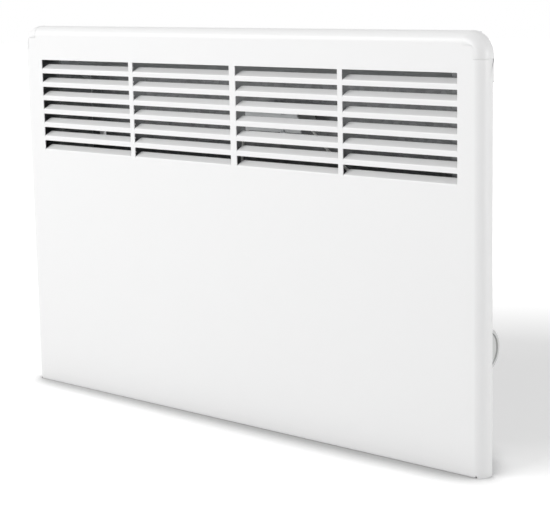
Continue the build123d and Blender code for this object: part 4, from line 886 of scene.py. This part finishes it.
@dataclass
class FrontPanel:
    """The formed and louvred front sheet: a shallow pan with a return fold and four columns of louvres.

    The two left columns share left_share of the openings' whole length, and the two right ones the rest.
    """

    depth: float = 14.8
    steel: float = 0.8
    bend: float = 10.0
    foot_bend: float = 1.5
    return_width: float = 13.0
    relief: float = 1.8
    relief_in: float = 7.5
    rows: int = 7
    left_margin: float = 30.4
    right_margin: float = 26.3
    top_margin: float = 35.2
    webs: tuple[float, ...] = (5.7, 7.5, 5.5)
    left_share: float = 0.5154
    row_pitch: float = 14.35
    opening: float = 10.3
    slot_corner: float = 0.5
    tilt: float = 64.0
    blade_bend: float = 1.6
    blade_end_gap: float = 0.35
    blade_corner: float = 2.5
    blade_sunk: float = 0.02
    blade_root: Span = (0.5, 0.1)
    cap_gap: float = 0.15
    cap_room: float = 0.2
    screw_edge: float = 6.5
    screw_hole: float = 2.0
    top_screws: tuple[float, ...] = (-0.35, -0.12, 0.12, 0.35)
    side_screws: tuple[float, ...] = (30.0, 0.41 * HEIGHT, 0.75 * HEIGHT)

    def columns(self) -> dict[float, list[Triple]]:
        """Finds the louvres, which come in two lengths.

        Returns:
            For each length of opening, the left top corner of every opening of that length.
        """
        whole = 2 * HALF - self.left_margin - self.right_margin - sum(self.webs)
        longer, shorter = self.left_share * whole / 2, (1 - self.left_share) * whole / 2
        found, left = {longer: [], shorter: []}, self.left_margin - HALF
        tops = [HEIGHT - self.top_margin - row * self.row_pitch for row in range(self.rows)]
        for length, web in zip((longer, longer, shorter, shorter), (*self.webs, 0)):
            found[length] += [(left, 0.0, top) for top in tops]
            left += length + web
        return found

    @property
    def through_return(self) -> Span:
        """The depths between which a solid cuts through the return."""
        return self.depth - self.steel - PAST, self.depth + PAST

    def form(self, inset: float, back: float) -> Object:
        """Models the solid that the sheet is wrapped round, with rounded sides and top and a tight foot.

        Args:
            inset: How far inside the sheet's outer surface it lies.
            back: The depth of its back.

        Returns:
            The solid.
        """
        form = block("front_sheet", (inset - HALF, HALF - inset), (inset, back), (inset, HEIGHT - inset))
        near, top = inset + TOUCH, HEIGHT - inset - TOUCH
        round_off(form, lambda m, d: m.y < near and (abs(d.z) > ALONG or m.z > top), self.bend - inset, 14)
        wide, high = HALF + WELL_PAST, HEIGHT + WELL_PAST
        foot = block("foot_form", (-wide, wide), (inset, back + WELL_PAST), (inset, high))
        round_off(foot, lambda m, d: m.y < near and m.z < near, self.foot_bend - inset, 4)
        combine(form, foot, Join.SHARE)
        return form

    def pan(self) -> Object:
        """Models the sheet without its louvres, with a return all round its open back.

        Returns:
            The pan.
        """
        pan = self.form(0, self.depth)
        combine(pan, self.form(self.steel, self.depth - self.steel), Join.CUT)
        low, high, side = self.return_width, HEIGHT - self.return_width, HALF - self.return_width
        window = block("return_window", (-side, side), self.through_return, (low, high))
        combine(pan, window, Join.CUT)
        return pan

    def blade(self, length: float) -> Object:
        """Models a blade: its foot is spun round the bend and then run out straight.

        Args:
            length: The length of its opening, whose left top corner is at x = 0 and height 0.

        Returns:
            The blade.
        """
        ends, sunk = (self.blade_end_gap, length - self.blade_end_gap), self.blade_sunk
        low, foot = (-self.opening - below for below in self.blade_root)
        turn = math.radians(self.tilt)
        straight = self.opening - (self.blade_bend - self.steel / 2) * turn
        run = Vector((0, math.sin(turn), math.cos(turn)))
        blade = block("louvre_blade", ends, (sunk, self.steel + sunk), (low, foot))
        with edited(blade, Pick.FACES, lambda m, n: n.z > ALONG):
            centre = (0, at(self.blade_bend + sunk), foot * MM)
            bpy.ops.mesh.spin(steps=5, angle=turn, center=centre, axis=(1, 0, 0))
            bpy.ops.mesh.extrude_region_move(TRANSFORM_OT_translate={"value": run * straight * MM})
        tip, across = (straight - PAST) * run.y, 1 - ALONG
        round_off(
            blade,
            lambda m, d: abs(d.x) < across and abs(d.dot(run)) < across and m.y > tip,
            self.blade_corner,
            4,
        )
        outwards(blade)
        return blade

    def cutters(self, caps: CornerCaps) -> list[Object]:
        """Models what is cut from the pan: the openings, the corners, the bend reliefs and the screw holes.

        Args:
            caps: The corner caps, which fit in the cut corners.

        Returns:
            The solids that cut.
        """
        slots = []
        for length, places in self.columns().items():
            slot = block("louvre_opening", (0, length), (-PAST, self.steel + PAST), (-self.opening, 0))
            round_off(slot, lambda m, d: abs(d.y) > ALONG, self.slot_corner, 3)
            slots.append(copies(slot, places))
        past_back = self.depth + PAST
        room_xs = (HALF - caps.radius - self.cap_gap, HALF + WELL_PAST)
        room_zs = (HEIGHT - caps.drop - self.cap_gap, HEIGHT + WELL_PAST)
        room = block("corner_room", room_xs, (self.steel + self.cap_room, past_back), room_zs)
        x, half = HALF - self.relief_in, self.relief / 2
        relief_depths = (-PAST, self.foot_bend + self.relief)
        relief = block("bend_relief", (x - half, x + half), relief_depths, (-PAST, self.relief))
        sides = [caps.region(self.cap_gap, (-PAST, past_back)), room, relief, caps.tail(self.cap_gap)]
        hole = rod_y("screw_hole", 0, self.through_return, 0, self.screw_hole, 20)
        return [*slots, *(both_sides(side) for side in sides), copies(hole, self.screw_places())]

    def screw_places(self) -> list[Triple]:
        """Finds where the casing's screws go through the return.

        Returns:
            Each screw's x, nought and height.
        """
        edge = HALF - self.screw_edge
        top = [(share * 2 * HALF, 0.0, HEIGHT - self.screw_edge) for share in self.top_screws]
        return top + [(side * edge, 0.0, z) for z in self.side_screws for side in (-1, 1)]

    def build(self, shop: Workshop, caps: CornerCaps) -> None:
        """Models the sheet and puts it in its node's stead.

        Args:
            shop: The workshop.
            caps: The corner caps.
        """
        sheet = self.pan()
        for cutter in self.cutters(caps):
            combine(sheet, cutter, Join.CUT)
        for length, places in self.columns().items():
            combine(sheet, copies(self.blade(length), places), Join.ADD)
        smoothed(sheet)
        shop.place(sheet, "front_panel")


# ---------------------------------------------------------------- controls on the casing's side
@dataclass
class Controls:
    """The moulded plate on the casing's side, with its screws, the control knob and the cord inlet."""

    wall: float = 252.0
    depth: float = 40.0
    knob_z: float = 105.1
    gland_z: float = 56.0
    bush_hole: float = 5.3

    plate_thick: float = 3.0
    plate_depths: Span = (17.5, 60.5)
    plate_zs: Span = (38.0, 135.0)
    plate_corner: float = 5.0
    plate_edge: float = 1.2
    screw_in: float = 5.0
    screw_radius: float = 1.5
    screw_clearance: float = 0.05
    head_radius: float = 2.8
    head_height: float = 1.8
    slot_floor: float = 1.0
    slot_width: float = 0.7
    screw_length: float = 9.0
    fixing_pitch: float = 28.0
    fixing_radius: float = 2.05
    sink_radius: float = 3.45
    sink_depth: float = 2.0
    mark_gap: float = 2.0
    mark_length: float = 4.5
    mark_width: float = 4.0
    mark_depth: float = 0.4
    mark_point: float = 0.05
    overlap: float = 0.2

    knob_radius: float = 20.0
    knob_height: float = 16.0
    knob_out: float = 20.0
    knob_edge: float = 1.6
    dish_radius: float = 16.4
    dish_depth: float = 1.5
    bar_width: float = 8.0
    bar_edge: float = 1.2
    skirt_wall: float = 2.4
    cavity: float = 8.0
    open_cavity: float = 4.0
    hub_radius: float = 6.0
    flutes: int = 30
    flute_radius: float = 1.0
    flute_out: float = 0.45
    flute_end: float = 2.5
    shaft_radius: float = 3.02
    groove_depth: float = 0.5
    groove_width: float = 1.2
    groove_length: float = 9.0

    gland_head: float = 8.0
    gland_radius: float = 9.0
    gland_edge: float = 3.0
    gland_body: float = 7.0
    gland_clearance: float = 0.3
    gland_bore: float = 4.0
    gland_tail: float = 14.0
    gland_ribs: int = 16
    rib_radius: float = 0.8
    rib_out: float = 0.3

    @property
    def outer(self) -> float:
        """The x of the plate's outside."""
        return self.wall + self.plate_thick

    def screw_places(self) -> list[Pair]:
        """Returns the depth and height of each plate screw."""
        (front, back), (low, high), edge = self.plate_depths, self.plate_zs, self.screw_in
        return [(d, z) for d in (front + edge, back - edge) for z in (low + edge, high - edge)]

    def about_axis(self, width: float) -> Span:
        """Returns the depths of something this wide that lies in the middle of the knob's axis."""
        return self.depth - width / 2, self.depth + width / 2

    def plate(self) -> Object:
        """Models the plate, with its holes and a moulded mark for the knob's pointer.

        Returns:
            The plate.
        """
        plate = block("control_plate_moulding", (self.wall, self.outer), self.plate_depths, self.plate_zs)
        round_off(plate, lambda m, d: abs(d.x) > ALONG, self.plate_corner, 8)
        round_off(plate, lambda m, d: m.x > self.outer - TOUCH, self.plate_edge, 4)
        past = self.outer + PAST
        through, sink = (self.wall - PAST, past), (self.outer - self.sink_depth, past)
        places = [(self.depth, self.knob_z, self.bush_hole)]
        places += [(self.depth, self.gland_z, self.gland_body + self.gland_clearance)]
        places += [(d, z, self.screw_radius + self.screw_clearance) for d, z in self.screw_places()]
        for depth, z, radius in places:
            combine(plate, rod_x("plate_hole", through, depth, z, radius, 32), Join.CUT)
        for side in (-0.5, 0.5):
            axis = (self.depth + side * self.fixing_pitch, self.knob_z)
            combine(plate, rod_x("fixing_hole", through, *axis, self.fixing_radius, 24), Join.CUT)
            combine(plate, rod_x("fixing_sink", sink, *axis, self.sink_radius, 32), Join.CUT)
        low = self.knob_z + self.knob_radius + self.mark_gap
        mark_xs, mark_zs = (self.outer - self.mark_depth, past), (low, low + self.mark_length)
        mark = block("pointer_mark", mark_xs, self.about_axis(self.mark_width), mark_zs)
        with edited(mark, Pick.EDGES, lambda m, d: abs(d.x) > ALONG and m.z < low + TOUCH):
            bpy.ops.transform.resize(value=(1, self.mark_point, 1), center_override=(0, at(self.depth), 0))
        combine(plate, mark, Join.CUT)
        smoothed(plate)
        return plate

    def screws(self) -> Object:
        """Models the four plate screws, each with a domed and slotted head.

        Returns:
            The screws in one mesh.
        """
        top = self.outer + self.head_height
        screw = rod_x("control_screw_set", (self.outer, top), 0, 0, self.head_radius, 32)
        round_off(screw, lambda m, d: m.x > top - TOUCH, self.head_height / 2, 4)
        long, half = self.head_radius + PAST, self.slot_width / 2
        slot = block("screw_slot", (self.outer + self.slot_floor, top + PAST), (-long, long), (-half, half))
        combine(screw, slot, Join.CUT)
        shank_xs = (self.outer - self.screw_length, self.outer + self.overlap)
        combine(screw, rod_x("screw_shank", shank_xs, 0, 0, self.screw_radius, 24), Join.ADD)
        screws = copies(screw, [(0, d, z) for d, z in self.screw_places()])
        smoothed(screws)
        return screws

    def knob(self) -> Object:
        """Models the fluted knob, with a dished face, a grip bar and a groove for a pointer.

        Returns:
            The knob.
        """
        face, axis = self.wall + self.knob_out, (self.depth, self.knob_z)
        under, dish, past = face - self.knob_height, face - self.dish_depth, face + PAST
        knob = rod_x("control_knob_moulding", (under, face), *axis, self.knob_radius, 180)
        round_off(knob, lambda m, d: m.x > face - TOUCH, self.knob_edge, 6)
        hollow = rod_x("knob_dish", (dish, past), *axis, self.dish_radius, 120)
        bar_zs = (self.knob_z - 2 * self.knob_radius, self.knob_z + 2 * self.knob_radius)
        bar = block("knob_bar", (dish - 2 * PAST, face), self.about_axis(self.bar_width), bar_zs)
        round_off(bar, lambda m, d: m.x > face - TOUCH and abs(d.z) > ALONG, self.bar_edge, 5)
        combine(hollow, bar, Join.CUT)
        combine(knob, hollow, Join.CUT)
        skirt, open_to = self.knob_radius - self.skirt_wall, under + self.open_cavity
        combine(knob, rod_x("knob_cavity", (under - PAST, open_to), *axis, skirt, 96), Join.CUT)
        ring_solid = rod_x("knob_ring", (open_to - self.overlap / 2, under + self.cavity), *axis, skirt, 96)
        combine(ring_solid, rod_x("knob_hub", (under, face), *axis, self.hub_radius, 48), Join.CUT)
        combine(knob, ring_solid, Join.CUT)
        combine(knob, rod_x("shaft_bore", (under, dish - 2 * PAST), *axis, self.shaft_radius, 32), Join.CUT)
        flute = rod_x("knob_flute", (under - PAST, face - self.flute_end), 0, 0, self.flute_radius, 16)
        places = ring(self.flutes, self.knob_radius + self.flute_out, *axis, start=0.5)
        combine(knob, copies(flute, places), Join.CUT)
        end, groove_xs = self.knob_z + self.dish_radius, (face - self.groove_depth, past)
        groove_zs = (end - self.groove_length, end + PAST)
        groove = block("pointer_groove", groove_xs, self.about_axis(self.groove_width), groove_zs)
        combine(knob, groove, Join.CUT)
        smoothed(knob)
        return knob

    def gland(self) -> Object:
        """Models the cord inlet, with a ribbed and chamfered head and an open bore.

        Returns:
            The inlet.
        """
        top, tail = self.outer + self.gland_head, self.outer - self.gland_tail
        axis = (self.depth, self.gland_z)
        head = rod_x("cord_gland_moulding", (self.outer, top), *axis, self.gland_radius, 96)
        round_off(head, lambda m, d: m.x > top - TOUCH, self.gland_edge, 2)
        rib = rod_x("gland_flute", (self.outer + PAST, top + PAST), 0, 0, self.rib_radius, 12)
        combine(head, copies(rib, ring(self.gland_ribs, self.gland_radius + self.rib_out, *axis)), Join.CUT)
        body = rod_x("gland_body", (tail, self.outer + self.overlap), *axis, self.gland_body, 64)
        combine(head, body, Join.ADD)
        combine(head, rod_x("gland_bore", (tail - PAST, top + PAST), *axis, self.gland_bore, 48), Join.CUT)
        smoothed(head)
        return head

    def build(self, shop: Workshop) -> None:
        """Models the controls and puts them in their nodes' stead.

        Args:
            shop: The workshop.
        """
        shop.place(self.plate(), "control_plate")
        shop.place(self.screws(), "control_screws")
        shop.place(self.knob(), "thermostat_knob")
        shop.place(self.gland(), "cord_gland")


# ---------------------------------------------------------------- pieces that keep the CAD shape
@dataclass
class FineSurfaces:
    """The pieces that keep the CAD shape, with round faces shaded smoothly and some sharp edges eased.

    The nodes named as flat, whose faces are all flat, are left as they are.
    """

    eased: dict[str, float] = field(
        default_factory=lambda: {
            "wall_bracket": 0.25,
            "bracket_latch_left": 0.3,
            "bracket_latch_right": 0.3,
            "terminal_block": 0.25,
            "thermostat_body": 0.3,
        }
    )
    flat: tuple[str, ...] = ("element_fins", "cutout_tabs")

    def build(self, shop: Workshop) -> None:
        """Makes the surfaces and puts them in the stead of all nodes that nothing has replaced yet, apart
        from those named as flat.

        Args:
            shop: The workshop.
        """
        for name in NODE_FINISHES:
            if name not in self.flat and name not in shop.replaced:
                shop.place(refined(shop.frame["nodes"][name], self.eased.get(name, 0.0)), name)


# ---------------------------------------------------------------- studio and camera
@dataclass
class PhotographCamera:
    """The camera at the photograph's angle."""

    place: Triple = (0.9873, -1.1291, 0.4416)
    yaw: float = 40.463
    pitch: float = -9.238
    roll: float = -1.204
    lens: float = 100.01
    shift_down: float = 0.06
    sensor: float = 36
    clip: Span = (0.05, 30)

    def build(self) -> None:
        """Places the camera and makes it the scene's own."""
        yaw, pitch, roll = (math.radians(a) for a in (self.yaw, self.pitch, self.roll))
        ahead = Vector((-math.sin(yaw) * math.cos(pitch), math.cos(yaw) * math.cos(pitch), math.sin(pitch)))
        right = Vector((math.cos(yaw), math.sin(yaw), 0))
        up = right.cross(ahead)
        across = right * math.cos(roll) + up * math.sin(roll)
        upward = up * math.cos(roll) - right * math.sin(roll)
        turn = Matrix((across, upward, -ahead)).transposed()
        data = bpy.data.cameras.new("photograph_camera")
        data.lens = self.lens
        data.sensor_width = self.sensor
        data.sensor_fit = "HORIZONTAL"
        data.shift_y = -self.shift_down
        data.clip_start, data.clip_end = self.clip
        camera = bpy.data.objects.new("photograph_camera", data)
        bpy.context.scene.collection.objects.link(camera)
        camera.matrix_world = Matrix.Translation(self.place) @ turn.to_4x4()
        bpy.context.scene.camera = camera


@dataclass
class Lamp:
    """One soft rectangular lamp that looks at a point."""

    name: str
    place: Triple
    aim: Triple
    size: Pair
    power: float

    def build(self) -> None:
        """Adds the lamp."""
        data = bpy.data.lights.new(self.name, "AREA")
        data.shape = "RECTANGLE"
        data.size, data.size_y = self.size
        data.energy = self.power
        lamp = bpy.data.objects.new(self.name, data)
        bpy.context.scene.collection.objects.link(lamp)
        lamp.location = self.place
        lamp.rotation_euler = (Vector(self.aim) - Vector(self.place)).to_track_quat("-Z", "Y").to_euler()


@dataclass
class Studio:
    """A pale floor and plain soft light. The camera sees the world as white, and the floor as white apart
    from the object's shadow, which the lamps cast and painted shade deepens.
    """

    lamps: list[Lamp] = field(
        default_factory=lambda: [
            Lamp("front_softbox", (-1.5, -2.9, 1.75), (0.0, 0.0, 0.2), (3.2, 1.2), 93),
            Lamp("top_softbox", (0.1, 0.7, 2.6), (0.0, 0.0, 0.1), (2.6, 1.8), 6),
            Lamp("right_fill", (2.6, 0.6, 0.6), (0.3, 0.0, 0.2), (1.4, 1.4), 29),
        ]
    )
    daylight: float = 0.34
    floor_size: float = 14
    paper: str = "#dcdcdc"
    paper_roughness: float = 0.9
    shadow_patch_centre: Pair = (0.12, 0.22)
    glow: Span = (0.35, 1.0)
    shadow_patch_reach: Span = (0.2, 0.75)
    contact_reach: float = 0.045
    contact_open: Span = (0.55, 0.92)
    contact_shade: float = 0.42

    def build(self) -> None:
        """Builds the floor, the world and the lamps."""
        self.floor()
        self.world()
        for lamp in self.lamps:
            lamp.build()

    def seen(self, tree: NodeTree) -> NodeSocket:
        """Tells a look from light that falls on things.

        Args:
            tree: The node tree of the floor's material or the world.

        Returns:
            One where the camera, a reflection or glass looks, and otherwise nought.
        """
        rays = add_node(tree, "ShaderNodeLightPath").outputs
        seen = rays["Is Camera Ray"]
        for ray in ("Is Glossy Ray", "Is Transmission Ray"):
            seen = add_node(tree, "ShaderNodeMath", {0: seen, 1: rays[ray]}, operation="MAXIMUM").outputs[0]
        return seen

    def floor(self) -> None:
        """Adds the floor, which the camera sees as white apart from the object's shadow. That shadow is
        partly cast by the lamps and partly painted: a dimmer glow round the object and a darker band where it
        stands.
        """
        bpy.ops.object.select_all(action="DESELECT")
        bpy.ops.mesh.primitive_plane_add(size=self.floor_size, location=(0, 0, 0))
        floor = bpy.context.active_object
        floor.name = "studio_floor"
        made = bpy.data.materials.new("studio_paper")
        made.use_nodes = True
        tree = made.node_tree
        shader = tree.nodes["Principled BSDF"]
        shader.inputs["Roughness"].default_value = self.paper_roughness
        shader.inputs["Specular IOR Level"].default_value = 0.0
        # Painted contact shadow: where the object stands, ambient occlusion darkens the paper's colour and
        # its glow.
        sky = add_node(tree, "ShaderNodeAmbientOcclusion", {"Distance": self.contact_reach}).outputs["AO"]
        shut, clear = self.contact_open
        shade_span = {"Value": sky, "From Min": shut, "From Max": clear, "To Min": self.contact_shade}
        shade = add_node(tree, "ShaderNodeMapRange", shade_span).outputs[0]
        paper = {"Factor": shade, "A": BLACK, "B": linear(self.paper)}
        colour = add_node(tree, "ShaderNodeMix", paper, data_type="RGBA")
        tree.links.new(colour.outputs["Result"], shader.inputs["Base Color"])
        # Painted shadow: the glow is dimmer round a point near the object and full further away.
        ends = {0: add_node(tree, "ShaderNodeTexCoord").outputs["Object"], 1: (*self.shadow_patch_centre, 0)}
        away = add_node(tree, "ShaderNodeVectorMath", ends, operation="DISTANCE").outputs["Value"]
        (near, far), (dim, full) = self.shadow_patch_reach, self.glow
        glow_span = {"Value": away, "From Min": near, "From Max": far, "To Min": dim, "To Max": full}
        light = add_node(tree, "ShaderNodeMapRange", glow_span).outputs[0]
        for share in (shade, self.seen(tree)):
            light = add_node(tree, "ShaderNodeMath", {0: light, 1: share}, operation="MULTIPLY").outputs[0]
        shader.inputs["Emission Color"].default_value = WHITE
        tree.links.new(light, shader.inputs["Emission Strength"])
        floor.data.materials.append(made)

    def world(self) -> None:
        """Makes the world white where it is seen, and an even soft light elsewhere."""
        world = bpy.data.worlds.new("studio_world")
        bpy.context.scene.world = world
        world.use_nodes = True
        tree = world.node_tree
        background = tree.nodes["Background"]
        span = {"Value": self.seen(tree), "To Min": self.daylight, "To Max": 1.0}
        strength = add_node(tree, "ShaderNodeMapRange", span)
        background.inputs["Color"].default_value = WHITE
        tree.links.new(strength.outputs[0], background.inputs["Strength"])


def main() -> None:
    """Builds the scene, piece by piece."""
    logging.basicConfig(level=logging.INFO, format="%(name)s: %(message)s")
    shop = Workshop(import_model())
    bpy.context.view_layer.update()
    shop.dress()
    caps = CornerCaps()
    caps.build(shop)
    FrontPanel().build(shop, caps)
    Controls().build(shop)
    FineSurfaces().build(shop)
    PhotographCamera().build()
    Studio().build()
    bpy.context.scene.view_settings.view_transform = "Standard"


if __name__ == "__main__":
    main()
